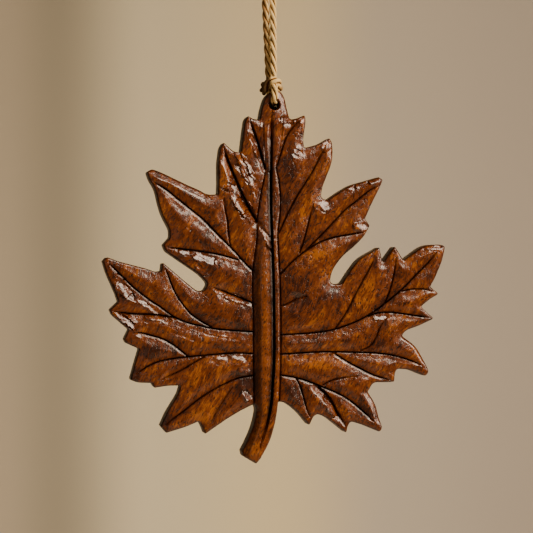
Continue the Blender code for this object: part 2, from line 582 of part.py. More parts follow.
def make_passage(knot_foot, front_y):
    """The run from under the knot, through the hole and up the back to the knot."""
    bend = TWINE_DIAMETER / 2.0 + PASSAGE_GAP
    mouth = -LOOP_DROP + hole_radius()
    top = knot_foot - TOUCH_GAP
    front = [(front_y - bend, top), (front_y - bend, (top + mouth) / 2.0)]
    back = [(BACK_Y + bend, (top + mouth) / 2.0), (BACK_Y + bend, top)]
    for turn in (0.0, 30.0, 60.0, 90.0):
        angle = math.radians(turn)
        front.append((front_y - bend * math.cos(angle), mouth - bend * math.sin(angle)))
        back.insert(0, (BACK_Y + bend * math.cos(angle), mouth - bend * math.sin(angle)))
    route = [(LOOP_LEAN, y, z) for y, z in front + back]
    return tube("twine_through_hole", smooth_line(route, TWINE_STEP / 2.0), TWINE_DIAMETER)


def mesh_object(name, mesh, sharp_angle):
    """A finished mesh as an object, shaded smooth up to a sharp angle."""
    data = bpy.data.meshes.new(name)
    mesh.to_mesh(data)
    mesh.free()
    data.shade_smooth()
    data.set_sharp_from_angle(angle=sharp_angle)
    return bpy.data.objects.new(name, data)


def material(name, colour, roughness, coat):
    """A plain Principled material."""
    made = bpy.data.materials.new(name)
    made.use_nodes = True
    shader = made.node_tree.nodes["Principled BSDF"]
    shader.inputs["Base Color"].default_value = colour
    shader.inputs["Roughness"].default_value = roughness
    shader.inputs["Metallic"].default_value = 0.0
    shader.inputs["Coat Weight"].default_value = coat
    return made


def main():
    """Clear the scene and make the leaf with its twine."""
    for old in list(bpy.data.objects):
        bpy.data.objects.remove(old)
    collection = bpy.data.collections.new("wooden_maple_leaf_hanging")
    bpy.context.scene.collection.children.link(collection)
    hanging_point = bpy.data.objects.new("hanging_point", None)
    hanging_point.empty_display_size = 0.01
    collection.objects.link(hanging_point)

    outline = rounded_loop(on_leaf(OUTLINE), [corner[2] for corner in OUTLINE], OUTLINE_STEP,
                           ARC_STEP)
    lines = cut_lines(VEIN_STEP)
    over_hole = np.array(((LOOP_LEAN, -LOOP_DROP + hole_radius()),))
    front_y = BACK_Y - float(front_height(over_hole, outline, lines)[0])
    knot_foot = float(outline[:, 1].max()) + TOUCH_GAP
    knot_top = knot_foot + KNOT_HEIGHT
    under_depth = BACK_Y - front_y + 2.0 * (TWINE_DIAMETER + 2.0 * TOUCH_GAP)

    wood = material("carved_wood", WOOD_COLOUR, 0.35, 0.5)
    twine = material("twine", TWINE_COLOUR, 0.85, 0.0)
    made = (
        (make_leaf(outline, lines), wood),
        (make_loop(knot_top), twine),
        (make_knot(knot_top, under_depth), twine),
        (make_passage(knot_foot, front_y), twine),
    )
    for piece, finish in made:
        piece.data.materials.append(finish)
        piece.parent = hanging_point
        collection.objects.link(piece)


main()
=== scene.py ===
"""Carved wooden maple leaf that hangs from a doubled natural twine.

Metres, +Z up. The carved front faces -Y, and the origin is the hanging point under the bend of
the twine. The camera and the twine come first, then the leaf, then light and backdrop.
"""
from __future__ import annotations

import logging
import math
from dataclasses import dataclass
from enum import Enum

import bpy
import numpy as np
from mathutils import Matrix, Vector, noise
from mathutils.geometry import delaunay_2d_cdt

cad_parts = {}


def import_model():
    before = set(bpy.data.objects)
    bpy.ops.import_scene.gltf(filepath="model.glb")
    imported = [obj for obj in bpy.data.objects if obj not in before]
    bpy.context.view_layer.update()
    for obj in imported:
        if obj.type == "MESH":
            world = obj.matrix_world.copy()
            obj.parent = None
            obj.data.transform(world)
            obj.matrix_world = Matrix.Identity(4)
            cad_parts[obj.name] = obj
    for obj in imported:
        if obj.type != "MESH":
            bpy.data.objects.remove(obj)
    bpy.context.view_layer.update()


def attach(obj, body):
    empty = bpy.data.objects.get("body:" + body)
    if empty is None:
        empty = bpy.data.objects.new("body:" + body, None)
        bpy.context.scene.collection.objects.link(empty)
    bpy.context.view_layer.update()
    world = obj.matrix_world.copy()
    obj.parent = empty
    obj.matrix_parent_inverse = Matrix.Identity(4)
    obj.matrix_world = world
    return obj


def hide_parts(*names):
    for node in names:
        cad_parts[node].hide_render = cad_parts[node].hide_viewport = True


LOG = logging.getLogger("maple_leaf_hanging")
MM = 0.001
Squares = tuple[tuple[float, float], ...]


class Corner(Enum):
    """How round a corner of the outline is, in metres."""

    TIP = 0.0008
    NOTCH = 0.0007
    WIDE = 0.0022
    BEND = 0.0300


TIP, NOTCH, WIDE, BEND = Corner.TIP, Corner.NOTCH, Corner.WIDE, Corner.BEND


class Ply(Enum):
    """Which way the plies of a twine turn about its length."""

    S_LAID = -1.0
    Z_LAID = 1.0


@dataclass(frozen=True)
class Groove:
    """A carved vein: shares of the driving depth and bank width, and its line in squares."""

    depth: float
    bank: float
    line: Squares


@dataclass(frozen=True)
class Flat:
    """A slanting cut: its width in metres, its slope, and the line it falls to, in squares."""

    width: float
    slope: float
    line: Squares


@dataclass(frozen=True)
class Dish:
    """Strokes that lean to the window: centre and radii in squares, turn, and how far."""

    centre: tuple[float, float]
    radii: tuple[float, float]
    turn: float
    lean: float


@dataclass(frozen=True)
class Patch:
    """A darker or lighter place: centre and radii in squares, turn, and shade from dark -1 to light
    1.
    """

    centre: tuple[float, float]
    radii: tuple[float, float]
    turn: float
    shade: float


@dataclass(frozen=True)
class Flutes:
    """Side-by-side gouge strokes: width in squares, number, depth, and middle line."""

    width: float
    count: int
    depth: float
    line: Squares


@dataclass(frozen=True)
class Scratch:
    """A thin tool line in squares, with its depth and half width in metres."""

    depth: float
    half_width: float
    line: Squares


OUTLINE = (
    (274.0, 92.8, BEND), (268.5, 94.6, WIDE), (265.2, 99.0, BEND), (262.0, 109.0, BEND),
    (259.8, 120.8, NOTCH), (253.0, 119.9, BEND), (248.6, 116.6, TIP), (245.6, 120.5, BEND),
    (243.6, 134.0, BEND), (241.4, 152.6, NOTCH), (235.3, 153.2, BEND), (230.0, 149.2, BEND),
    (224.0, 143.0, TIP), (220.6, 148.5, BEND), (218.6, 164.0, BEND), (218.8, 184.0, BEND),
    (218.4, 195.2, NOTCH),
    (208.0, 195.6, BEND), (200.5, 190.9, BEND), (190.0, 186.5, BEND), (161.2, 172.7, BEND),
    (152.5, 169.6, WIDE), (147.4, 173.0, TIP), (149.6, 180.0, BEND), (156.0, 190.6, BEND),
    (158.6, 203.0, BEND), (162.0, 215.0, BEND), (170.4, 231.0, BEND), (170.2, 238.4, WIDE),
    (163.6, 245.6, TIP), (166.0, 252.0, BEND), (182.0, 263.0, BEND), (200.0, 275.2, BEND),
    (208.4, 284.5, WIDE), (204.0, 292.2, WIDE), (196.5, 291.0, WIDE),
    (186.5, 283.0, BEND), (162.6, 262.6, TIP), (161.6, 271.8, NOTCH), (156.0, 272.6, BEND),
    (145.8, 269.0, BEND), (120.0, 262.4, BEND), (107.0, 257.6, WIDE), (103.2, 262.0, TIP),
    (106.8, 273.8, BEND), (115.6, 293.6, BEND), (118.8, 302.5, NOTCH), (110.2, 310.6, TIP),
    (112.6, 315.8, BEND), (129.2, 330.2, NOTCH), (124.6, 340.0, TIP), (126.2, 343.6, BEND),
    (139.6, 349.6, NOTCH), (135.8, 362.3, BEND), (130.8, 380.4, TIP), (138.0, 383.2, BEND),
    (152.0, 383.6, NOTCH), (155.0, 388.4, TIP), (168.0, 386.2, BEND),
    (180.8, 386.0, NOTCH), (178.6, 394.4, BEND), (166.7, 413.8, BEND), (161.0, 426.6, TIP),
    (166.8, 433.4, TIP), (185.4, 427.7, BEND), (199.2, 421.8, NOTCH), (202.6, 427.4, BEND),
    (205.2, 434.8, TIP), (226.9, 419.6, BEND), (240.8, 411.2, BEND), (254.6, 404.2, NOTCH),
    (256.9, 410.0, BEND), (255.4, 419.0, BEND), (252.0, 430.8, BEND), (247.0, 442.3, BEND),
    (242.2, 451.6, TIP), (243.4, 456.6, TIP), (255.6, 463.6, TIP), (264.6, 452.3, BEND),
    (270.6, 440.6, BEND), (275.5, 423.0, BEND), (277.4, 411.0, BEND), (278.4, 402.0, NOTCH),
    (284.6, 402.8, BEND), (293.3, 408.3, BEND), (300.6, 415.2, BEND), (309.4, 426.2, TIP),
    (313.6, 417.0, BEND), (317.4, 414.4, WIDE), (326.0, 417.4, BEND), (335.3, 424.5, BEND),
    (346.6, 433.8, TIP), (347.6, 427.0, BEND), (350.8, 421.6, WIDE), (362.0, 425.0, BEND),
    (380.0, 432.4, WIDE), (382.4, 428.0, BEND), (379.5, 419.0, BEND), (375.8, 404.0, BEND),
    (368.2, 392.4, NOTCH), (373.0, 382.6, BEND),
    (383.0, 382.8, BEND), (394.4, 382.2, TIP), (394.8, 374.0, BEND), (397.0, 369.2, WIDE),
    (409.0, 370.0, BEND), (425.8, 376.8, WIDE), (429.0, 371.6, WIDE), (423.0, 359.0, BEND),
    (416.0, 346.6, BEND), (401.6, 336.0, WIDE), (406.5, 330.6, BEND), (419.0, 326.2, BEND),
    (434.0, 319.0, TIP), (427.0, 313.0, BEND), (421.2, 307.0, NOTCH), (430.0, 299.5, BEND),
    (438.8, 294.4, TIP), (430.2, 287.4, NOTCH), (435.0, 278.5, BEND), (442.0, 262.0, BEND),
    (445.2, 246.6, WIDE), (440.0, 245.2, BEND), (424.2, 245.6, BEND), (403.4, 261.0, NOTCH),
    (394.8, 246.6, TIP), (382.6, 263.4, NOTCH), (380.2, 252.0, BEND), (379.6, 247.6, TIP),
    (371.5, 252.5, BEND), (359.0, 259.4, BEND), (350.5, 271.0, BEND), (341.6, 284.6, WIDE),
    (329.6, 284.8, WIDE), (332.0, 271.6, BEND), (342.0, 257.2, BEND), (355.0, 246.6, BEND),
    (364.8, 236.4, BEND), (369.8, 226.4, TIP), (365.2, 219.6, NOTCH), (371.0, 206.0, BEND),
    (380.6, 186.8, BEND), (382.8, 180.6, TIP), (379.4, 177.8, TIP), (364.0, 182.2, BEND),
    (351.0, 185.7, BEND), (340.0, 192.2, BEND), (327.0, 201.2, WIDE), (321.0, 198.6, WIDE),
    (322.3, 188.5, BEND), (331.2, 166.2, BEND), (333.4, 155.0, BEND), (332.5, 143.4, BEND),
    (329.8, 138.8, TIP), (318.6, 145.4, BEND), (304.6, 148.8, NOTCH),
    (303.2, 141.0, BEND), (305.9, 124.0, BEND), (305.4, 115.8, TIP), (297.0, 119.4, BEND),
    (290.4, 120.6, WIDE), (287.2, 109.0, BEND), (285.4, 99.4, BEND), (282.0, 93.2, BEND),
    (279.0, 91.6, BEND),
)

VEINS = (
    Groove(1.00, 1.50, ((249.0, 118.5), (252.2, 127.0), (256.7, 139.0), (260.2, 151.0),
                        (265.5, 169.5))),
    Groove(1.05, 2.00, ((223.5, 147.5), (226.4, 156.0), (230.2, 165.3), (237.5, 183.0),
                        (245.2, 199.5), (250.2, 209.5), (257.2, 221.5))),
    Groove(0.45, 0.45, ((223.7, 199.0), (225.5, 211.0), (227.7, 222.0), (228.5, 233.0),
                        (230.2, 246.0))),
    Groove(1.10, 0.55, ((152.0, 182.0), (157.4, 185.0), (166.4, 190.5), (175.4, 197.7),
                        (190.4, 209.8), (203.0, 220.0), (215.4, 232.5), (225.4, 242.7),
                        (235.7, 253.3), (245.4, 264.2), (253.0, 271.5))),
    Groove(0.90, 0.45, ((166.0, 248.0), (180.2, 249.6), (202.3, 252.4), (220.3, 255.6),
                        (238.0, 260.5))),
    Groove(0.80, 1.00, ((212.0, 288.0), (221.2, 291.0), (231.3, 294.8), (241.3, 298.7),
                        (252.5, 303.5))),
    Groove(1.10, 0.42, ((109.0, 263.5), (115.3, 270.0), (125.4, 280.0), (135.4, 289.5),
                        (150.4, 301.0), (160.4, 307.5), (170.4, 315.0), (180.4, 320.5),
                        (190.4, 324.0), (205.4, 327.5), (220.4, 330.0), (253.0, 332.5))),
    Groove(0.80, 0.42, ((164.2, 266.5), (167.3, 273.5), (171.3, 284.0), (176.1, 294.6),
                        (182.3, 304.0), (190.3, 313.8), (200.3, 321.3), (211.3, 327.5))),
    Groove(0.90, 1.00, ((111.0, 311.5), (120.3, 313.0), (135.3, 314.6), (152.3, 315.0),
                        (163.3, 316.0), (174.3, 318.2))),
    Groove(0.85, 0.60, ((132.0, 333.6), (141.3, 333.6), (152.3, 336.2), (163.3, 339.6),
                        (172.3, 344.5), (180.3, 350.5), (188.3, 357.0))),
    Groove(0.80, 0.48, ((134.0, 376.0), (141.2, 371.3), (151.2, 365.3), (162.2, 361.3),
                        (178.2, 358.5), (195.2, 356.7), (215.2, 355.0), (235.2, 353.6),
                        (253.0, 354.2))),
    Groove(0.50, 0.40, ((159.2, 381.5), (168.2, 377.0), (180.2, 371.5), (188.2, 367.0),
                        (196.2, 362.0), (204.2, 357.5))),
    Groove(0.65, 0.48, ((165.2, 427.0), (171.2, 421.0), (185.2, 410.5), (200.2, 398.7),
                        (215.2, 389.3), (230.2, 381.7), (241.2, 378.0), (253.0, 376.0))),
    Groove(0.35, 0.60, ((208.2, 428.0), (215.2, 414.5), (223.2, 401.5), (232.2, 388.0))),
    Groove(0.50, 0.50, ((301.7, 119.5), (294.2, 127.0), (287.2, 136.5), (282.2, 150.0),
                        (277.2, 166.0))),
    Groove(0.60, 0.45, ((325.2, 147.0), (320.2, 157.0), (313.2, 171.0), (304.7, 185.0),
                        (296.7, 197.5), (290.2, 209.5), (284.7, 221.0), (279.2, 233.0))),
    Groove(0.65, 0.50, ((380.4, 185.5), (368.2, 192.3), (356.2, 202.0), (344.2, 211.5),
                        (330.2, 226.5), (318.2, 239.0), (305.2, 251.5), (292.2, 262.5),
                        (280.5, 275.0))),
    Groove(0.80, 0.45, ((366.5, 232.5), (350.2, 235.3), (335.2, 238.0), (322.2, 242.0),
                        (311.2, 248.0), (303.2, 253.5))),
    Groove(0.55, 0.45, ((312.7, 206.0), (309.7, 218.0), (307.0, 229.0), (303.2, 243.0),
                        (299.7, 253.0))),
    Groove(0.45, 0.45, ((306.0, 297.0), (297.2, 299.5), (289.2, 303.5), (280.5, 307.0))),
    Groove(0.85, 0.32, ((436.0, 253.0), (427.2, 264.0), (415.2, 276.0), (402.2, 289.5),
                        (390.2, 299.5), (378.2, 309.0), (365.2, 317.5), (350.2, 324.5),
                        (332.2, 330.5), (312.2, 333.5), (280.5, 335.5))),
    Groove(0.50, 0.40, ((395.5, 258.0), (394.7, 268.0), (392.5, 280.0), (388.7, 293.0),
                        (384.2, 304.0))),
    Groove(0.50, 0.45, ((375.5, 255.0), (370.2, 267.5), (362.2, 282.0), (354.2, 297.0),
                        (346.2, 313.0), (335.2, 329.0))),
    Groove(0.55, 0.28, ((435.0, 293.0), (424.2, 290.0), (411.2, 290.0), (401.2, 292.0))),
    Groove(0.95, 0.30, ((431.0, 318.5), (415.2, 316.3), (400.2, 314.0), (387.2, 312.8),
                        (376.2, 314.0), (368.2, 317.0))),
    Groove(0.45, 0.45, ((386.2, 318.5), (379.7, 328.0), (375.7, 338.0), (370.2, 346.0),
                        (361.2, 351.0))),
    Groove(0.95, 0.32, ((421.5, 366.0), (410.2, 361.0), (395.2, 356.5), (378.2, 353.8),
                        (355.2, 352.8), (320.2, 352.5), (280.5, 354.8))),
    Groove(0.90, 0.60, ((392.0, 381.3), (372.2, 375.0), (360.2, 369.0), (348.2, 362.8),
                        (335.2, 354.5))),
    Groove(0.95, 0.52, ((375.0, 423.0), (364.2, 413.0), (351.2, 402.0), (338.2, 394.0),
                        (322.2, 387.3), (308.2, 381.8), (295.2, 378.0), (280.5, 375.5))),
    Groove(0.75, 0.40, ((310.0, 418.0), (306.7, 409.5), (303.2, 397.0), (299.7, 386.0),
                        (296.2, 379.0))),
    Groove(0.90, 2.00, ((345.2, 427.5), (341.2, 419.0), (336.7, 411.0), (331.2, 400.5),
                        (325.2, 393.0), (318.2, 387.0))),
    Groove(0.45, 0.40, ((356.0, 376.5), (343.2, 378.3), (333.2, 380.3), (323.2, 385.0))),
)

RIM_CUTS = (
    Flat(3.0 * MM, 0.42, ((152.5, 169.6), (175.0, 178.6), (190.0, 186.0), (205.0, 193.4))),
    Flat(2.7 * MM, 0.26, ((280.0, 92.0), (285.6, 99.4), (287.4, 109.0), (290.4, 120.0))),
    Flat(1.9 * MM, 0.30, ((329.6, 139.0), (332.0, 146.0), (332.8, 156.0))),
    Flat(1.6 * MM, 0.42, ((352.0, 185.2), (366.0, 181.6), (380.0, 178.0))),
    Flat(1.4 * MM, 0.42, ((403.0, 337.0), (415.0, 345.6), (424.0, 361.0))),
    Flat(1.3 * MM, 0.42, ((424.0, 245.4), (443.0, 245.4))),
    Flat(2.4 * MM, 0.29, ((369.0, 393.0), (375.8, 404.0), (379.5, 419.0))),
)

MIDRIB_LEFT = ((263.0, 112.0), (263.5, 140.0), (265.3, 169.5), (261.4, 192.0),
               (259.0, 206.5), (257.2, 220.5), (256.8, 240.0), (254.8, 256.5),
               (252.8, 272.0), (252.6, 295.0), (253.4, 320.0), (253.3, 345.0),
               (253.6, 375.0), (254.0, 405.0), (256.4, 412.0), (252.0, 431.0),
               (247.0, 443.0), (242.0, 453.0))
MIDRIB_SPLIT = ((274.3, 111.5), (273.4, 123.0), (273.4, 139.0), (272.9, 166.0),
                (272.6, 192.0), (272.8, 218.0), (273.5, 249.0), (274.2, 280.0),
                (274.6, 308.0), (274.9, 338.0), (274.7, 360.0), (273.7, 378.0),
                (272.3, 400.0), (270.3, 413.0), (267.4, 426.0), (264.0, 436.0),
                (260.8, 447.0))
MIDRIB_RIGHT = ((284.0, 112.0), (281.0, 140.0), (276.3, 166.0), (278.8, 181.0),
                (280.5, 200.0), (279.6, 218.0), (277.8, 235.0), (278.4, 252.0),
                (279.5, 270.0), (280.2, 290.0), (280.7, 320.0), (280.7, 350.0),
                (280.3, 375.0), (279.2, 401.0), (276.0, 423.0), (270.0, 442.0),
                (260.0, 461.0))

# Places where the strokes of the gouge lean to the window and the wax shines
DISHES = (
    Dish((229.0, 188.0), (7.0, 9.0), 20.0, 1.00),
    Dish((244.0, 170.0), (17.0, 6.5), 64.0, 0.95),
    Dish((237.0, 156.0), (6.0, 4.0), 62.0, 0.80),
    Dish((242.0, 206.0), (23.0, 5.6), 51.0, 0.95),
    Dish((266.0, 239.0), (12.0, 3.2), 68.0, 1.05),
    Dish((254.0, 146.0), (14.0, 2.6), 76.0, 0.80),
    Dish((203.0, 258.5), (12.0, 4.6), 20.0, 0.90),
    Dish((186.0, 253.5), (9.0, 2.4), 10.0, 0.90),
    Dish((203.0, 271.0), (8.0, 3.0), 40.0, 0.75),
    Dish((124.5, 291.0), (15.0, 5.0), 45.0, 1.10),
    Dish((147.0, 306.5), (13.0, 2.4), 36.0, 1.00),
    Dish((125.0, 321.0), (11.0, 7.0), 32.0, 1.05),
    Dish((158.0, 319.0), (14.0, 2.6), 6.0, 0.80),
    Dish((180.0, 337.0), (14.0, 2.2), 16.0, 0.75),
    Dish((222.0, 292.5), (9.0, 2.4), 16.0, 0.90),
    Dish((237.0, 299.5), (12.0, 4.0), 20.0, 1.05),
    Dish((222.0, 358.5), (8.0, 2.2), -4.0, 0.80),
    Dish((238.0, 358.5), (9.0, 2.6), 8.0, 0.85),
    Dish((246.5, 395.5), (5.4, 4.4), 62.0, 1.10),
    Dish((244.0, 371.0), (6.0, 4.0), 0.0, 0.75),
    Dish((287.6, 122.0), (6.5, 8.0), 0.0, 1.00),
    Dish((296.5, 152.5), (4.6, 8.0), 20.0, 0.90),
    Dish((301.5, 121.0), (2.6, 5.0), 0.0, 0.95),
    Dish((326.0, 147.0), (4.6, 6.0), 0.0, 0.95),
    Dish((323.0, 206.0), (5.5, 5.5), 0.0, 0.80),
    Dish((362.0, 186.0), (16.0, 2.6), -16.0, 0.95),
    Dish((360.0, 228.0), (7.5, 4.0), -12.0, 1.10),
    Dish((381.0, 318.5), (9.0, 1.9), -6.0, 0.75),
    Dish((328.0, 404.0), (13.0, 3.4), 58.0, 0.85),
    Dish((433.0, 248.5), (9.0, 2.2), 0.0, 0.85),
)

# Places drawn darker or lighter in tone; along the midrib they paint light on its crest and shade
# on its left flank
PATCHES = (
    Patch((157.0, 350.0), (24.0, 8.0), 0.0, -1.30),
    Patch((134.0, 373.0), (9.0, 9.0), 0.0, -0.60),
    Patch((163.0, 423.0), (12.0, 8.0), -45.0, -1.00),
    Patch((245.0, 384.0), (13.0, 20.0), 0.0, -0.90),
    Patch((248.0, 315.0), (8.0, 55.0), 0.0, -0.60),
    Patch((215.0, 322.0), (34.0, 7.0), 12.0, -0.60),
    Patch((215.0, 305.0), (26.0, 12.0), 20.0, -0.35),
    Patch((196.0, 242.0), (24.0, 7.0), 8.0, -0.55),
    Patch((205.0, 205.0), (22.0, 8.0), 35.0, -0.40),
    Patch((112.0, 268.0), (9.0, 9.0), 0.0, -0.70),
    Patch((292.0, 288.0), (18.0, 26.0), 20.0, -0.95),
    Patch((325.0, 297.0), (8.0, 8.0), 0.0, -0.90),
    Patch((284.0, 185.0), (9.0, 34.0), 0.0, -0.50),
    Patch((350.0, 250.0), (16.0, 5.0), -48.0, -1.20),
    Patch((371.0, 345.0), (22.0, 7.0), 0.0, -0.90),
    Patch((336.0, 385.0), (14.0, 7.0), 35.0, -0.90),
    Patch((362.0, 412.0), (14.0, 8.0), 45.0, -0.80),
    Patch((375.0, 309.0), (36.0, 6.0), -32.0, -0.75),
    Patch((430.0, 272.0), (9.0, 16.0), 20.0, -0.60),
    Patch((292.0, 392.0), (12.0, 10.0), 0.0, -0.60),
    Patch((262.0, 150.0), (6.0, 40.0), 0.0, -0.45),
    Patch((425.0, 319.0), (12.0, 5.0), 0.0, -0.60),
    Patch((305.0, 212.0), (9.0, 25.0), 24.0, 0.85),
    Patch((322.0, 252.0), (22.0, 9.0), -20.0, 0.65),
    Patch((312.0, 362.0), (30.0, 7.0), 4.0, 0.90),
    Patch((373.0, 276.0), (9.0, 24.0), 26.0, 0.65),
    Patch((328.0, 172.0), (5.0, 18.0), 12.0, 0.70),
    Patch((366.0, 202.0), (14.0, 8.0), -50.0, 0.55),
    Patch((412.0, 350.0), (14.0, 10.0), 45.0, 0.55),
    Patch((412.0, 296.0), (14.0, 10.0), 0.0, 0.45),
    Patch((326.0, 320.0), (20.0, 8.0), -8.0, 0.45),
    Patch((204.0, 411.0), (8.0, 16.0), 20.0, 0.70),
    Patch((228.0, 339.0), (20.0, 5.0), 6.0, 0.60),
    Patch((206.0, 371.0), (24.0, 8.0), -10.0, 0.45),
    Patch((160.0, 208.0), (5.0, 24.0), -14.0, 0.60),
    # Painted light along the midrib's crest, and painted shade with staining on its left flank
    Patch((265.0, 330.0), (4.5, 90.0), 0.0, 0.30),
    Patch((256.0, 335.0), (3.4, 75.0), 0.0, -0.50),
    Patch((254.0, 452.0), (9.0, 8.0), 0.0, 0.40),
)

# Strokes of the gouge that lie side by side
FLUTES = (
    Flutes(22.0, 8, 0.15 * MM, ((234.0, 152.0), (244.0, 176.0), (256.0, 200.0))),
    Flutes(9.0, 4, 0.04 * MM, ((222.0, 168.0), (229.0, 190.0), (246.0, 216.0))),
    Flutes(6.0, 3, 0.07 * MM, ((247.5, 122.0), (254.0, 146.0), (262.0, 166.0))),
    Flutes(16.0, 6, 0.10 * MM, ((180.0, 253.0), (198.0, 260.0), (218.0, 272.0))),
    Flutes(12.0, 4, 0.08 * MM, ((112.0, 280.0), (136.0, 300.0), (164.0, 315.0))),
    Flutes(14.0, 5, 0.08 * MM, ((114.0, 317.0), (140.0, 323.0), (170.0, 325.0))),
    Flutes(12.0, 5, 0.07 * MM, ((172.0, 323.0), (200.0, 333.0), (240.0, 339.0))),
    Flutes(12.0, 5, 0.08 * MM, ((206.0, 360.0), (228.0, 361.0), (250.0, 360.0))),
    Flutes(8.0, 4, 0.10 * MM, ((318.0, 388.0), (330.0, 403.0), (341.0, 423.0))),
)

# Single lines that a tool left beside the veins
SCRATCHES = (
    Scratch(0.16 * MM, 0.35 * MM, ((276.0, 168.0), (279.0, 188.0), (283.0, 209.0))),
    Scratch(0.12 * MM, 0.30 * MM, ((281.5, 170.0), (283.4, 190.0), (285.4, 207.0))),
    Scratch(0.14 * MM, 0.30 * MM, ((262.0, 121.0), (262.4, 131.0), (262.0, 141.0))),
    Scratch(0.18 * MM, 0.35 * MM, ((181.0, 222.0), (196.0, 237.0), (206.0, 251.0))),
    Scratch(0.16 * MM, 0.30 * MM, ((190.0, 207.0), (204.0, 221.0), (222.0, 240.0))),
    Scratch(0.20 * MM, 0.35 * MM, ((155.0, 287.0), (163.0, 295.0), (169.0, 301.0))),
    Scratch(0.16 * MM, 0.30 * MM, ((200.0, 333.0), (222.0, 338.0), (240.0, 341.0))),
    Scratch(0.20 * MM, 0.35 * MM, ((291.0, 162.0), (295.0, 166.0))),
    Scratch(0.18 * MM, 0.30 * MM, ((302.0, 128.0), (296.0, 140.0), (291.0, 150.0))),
    Scratch(0.16 * MM, 0.30 * MM, ((329.0, 370.0), (337.0, 374.0), (344.0, 379.0))),
    Scratch(0.16 * MM, 0.30 * MM, ((362.0, 366.0), (372.0, 372.0), (381.0, 379.0))),
    Scratch(0.14 * MM, 0.30 * MM, ((232.0, 236.0), (238.0, 244.0), (243.0, 252.0))),
)


def linear(code: str) -> tuple[float, float, float, float]:
    """Turn an sRGB hex colour into linear values.

    Args:
        code: six hex digits after a hash.

    Returns:
        Red, green, blue and a full alpha.
    """
    values = []
    for start in (1, 3, 5):
        level = int(code[start:start + 2], 16) / 255.0
        values.append(level / 12.92 if level <= 0.04045 else ((level + 0.055) / 1.055) ** 2.4)
    return (values[0], values[1], values[2], 1.0)


def add_node(tree: bpy.types.NodeTree, kind: str, settings: dict | None = None,
             links: dict | None = None) -> bpy.types.Node:
    """Add one node with its settings and links.

    Args:
        tree: the node tree that it goes into.
        kind: the node's type name.
        settings: attribute values by name, and input values by socket name or number.
        links: for each input, the output socket that feeds it.

    Returns:
        The new node.
    """
    made = tree.nodes.new(kind)
    for key, value in (settings or {}).items():
        if isinstance(key, str) and hasattr(made, key):
            setattr(made, key, value)
        else:
            made.inputs[key].default_value = value
    for key, output in (links or {}).items():
        tree.links.new(output, made.inputs[key])
    return made


def fresh_material(name: str) -> tuple[bpy.types.Material, bpy.types.NodeTree, bpy.types.Node]:
    """Start a material with its Principled shader.

    Args:
        name: the material's name.

    Returns:
        The material, its node tree and the shader node.
    """
    made = bpy.data.materials.new(name)
    made.use_nodes = True
    return made, made.node_tree, made.node_tree.nodes["Principled BSDF"]


def colour_ramp(tree: bpy.types.NodeTree, source: bpy.types.NodeSocket,
                stops: tuple[tuple[float, str], ...]) -> bpy.types.NodeSocket:
    """Turn a value into a colour.

    Args:
        tree: the node tree.
        source: the value's socket.
        stops: places from 0 to 1, each with a hex colour.

    Returns:
        The colour socket.
    """
    ramp = add_node(tree, "ShaderNodeValToRGB", links={"Fac": source})
    ramp.color_ramp.interpolation = "EASE"
    elements = ramp.color_ramp.elements
    while len(elements) < len(stops):
        elements.new(0.5)
    for element, (place, code) in zip(elements, stops):
        element.position = place
        element.color = linear(code)
    return ramp.outputs["Color"]


def real_size_noise(tree: bpy.types.NodeTree, place: bpy.types.NodeSocket,
                    size_mm: tuple[float, float], detail: float,
                    rough: float) -> bpy.types.NodeSocket:
    """Lay a noise pattern whose features have a real size.

    Args:
        tree: the node tree.
        place: the coordinate socket, in metres.
        size_mm: the features' size across and along the grain, in millimetres.
        detail: how many finer layers it has.
        rough: how strong the finer layers are.

    Returns:
        The pattern's value socket.
    """
    across = 1.0 / (size_mm[0] * MM)
    along = 1.0 / (size_mm[1] * MM)
    stretched = add_node(tree, "ShaderNodeVectorMath",
                         {"operation": "MULTIPLY", 1: (across, across, along)}, {0: place})
    made = add_node(tree, "ShaderNodeTexNoise",
                    {"Scale": 1.0, "Detail": detail, "Roughness": rough},
                    {"Vector": stretched.outputs[0]})
    return made.outputs["Fac"]


def weighted_sum(tree: bpy.types.NodeTree,
                 parts: tuple[tuple[bpy.types.NodeSocket, float], ...]) -> bpy.types.NodeSocket:
    """Add up values, each times its weight.

    Args:
        tree: the node tree.
        parts: value sockets with their weights.

    Returns:
        The sum's socket.
    """
    total = None
    for value, weight in parts:
        step = add_node(tree, "ShaderNodeMath", {"operation": "MULTIPLY_ADD", 1: weight},
                        {0: value})
        if total is None:
            step.inputs[2].default_value = 0.0
        else:
            tree.links.new(total, step.inputs[2])
        total = step.outputs[0]
    return total


def laid_over(tree: bpy.types.NodeTree, colour: bpy.types.NodeSocket,
              layers: tuple[tuple[bpy.types.NodeSocket, str], ...]) -> bpy.types.NodeSocket:
    """Lay plain colours over a colour, one after the other.

    Args:
        tree: the node tree.
        colour: the socket of the colour underneath.
        layers: for each layer, how much of it shows, from 0 to 1, and its hex colour.

    Returns:
        The socket of the colour on top.
    """
    for share, code in layers:
        mix = add_node(tree, "ShaderNodeMix", {"data_type": "RGBA", 7: linear(code)},
                       {"Factor": share, 6: colour})
        colour = mix.outputs[2]
    return colour


def smooth_line(points: np.ndarray | Squares, step: float) -> np.ndarray:
    """Lay points about step apart on a smooth curve through the given ones.

    Args:
        points: the places that the curve passes through, as rows.
        step: the distance between the new points, in the points' own units.

    Returns:
        The new points as rows.
    """
    known = np.array(points, dtype=float)
    padded = np.vstack((2.0 * known[0] - known[1], known, 2.0 * known[-1] - known[-2]))
    line = []
    for index in range(1, len(padded) - 2):
        a, b, c, d = padded[index - 1:index + 3]
        pieces = max(1, math.ceil(np.linalg.norm(c - b) / step))
        t = (np.arange(pieces) / pieces)[:, None]
        line.append(0.5 * (2.0 * b + (c - a) * t + (2.0 * a - 5.0 * b + 4.0 * c - d) * t ** 2
                           + (3.0 * b - a - 3.0 * c + d) * t ** 3))
    line.append(known[-1:])
    return np.vstack(line)


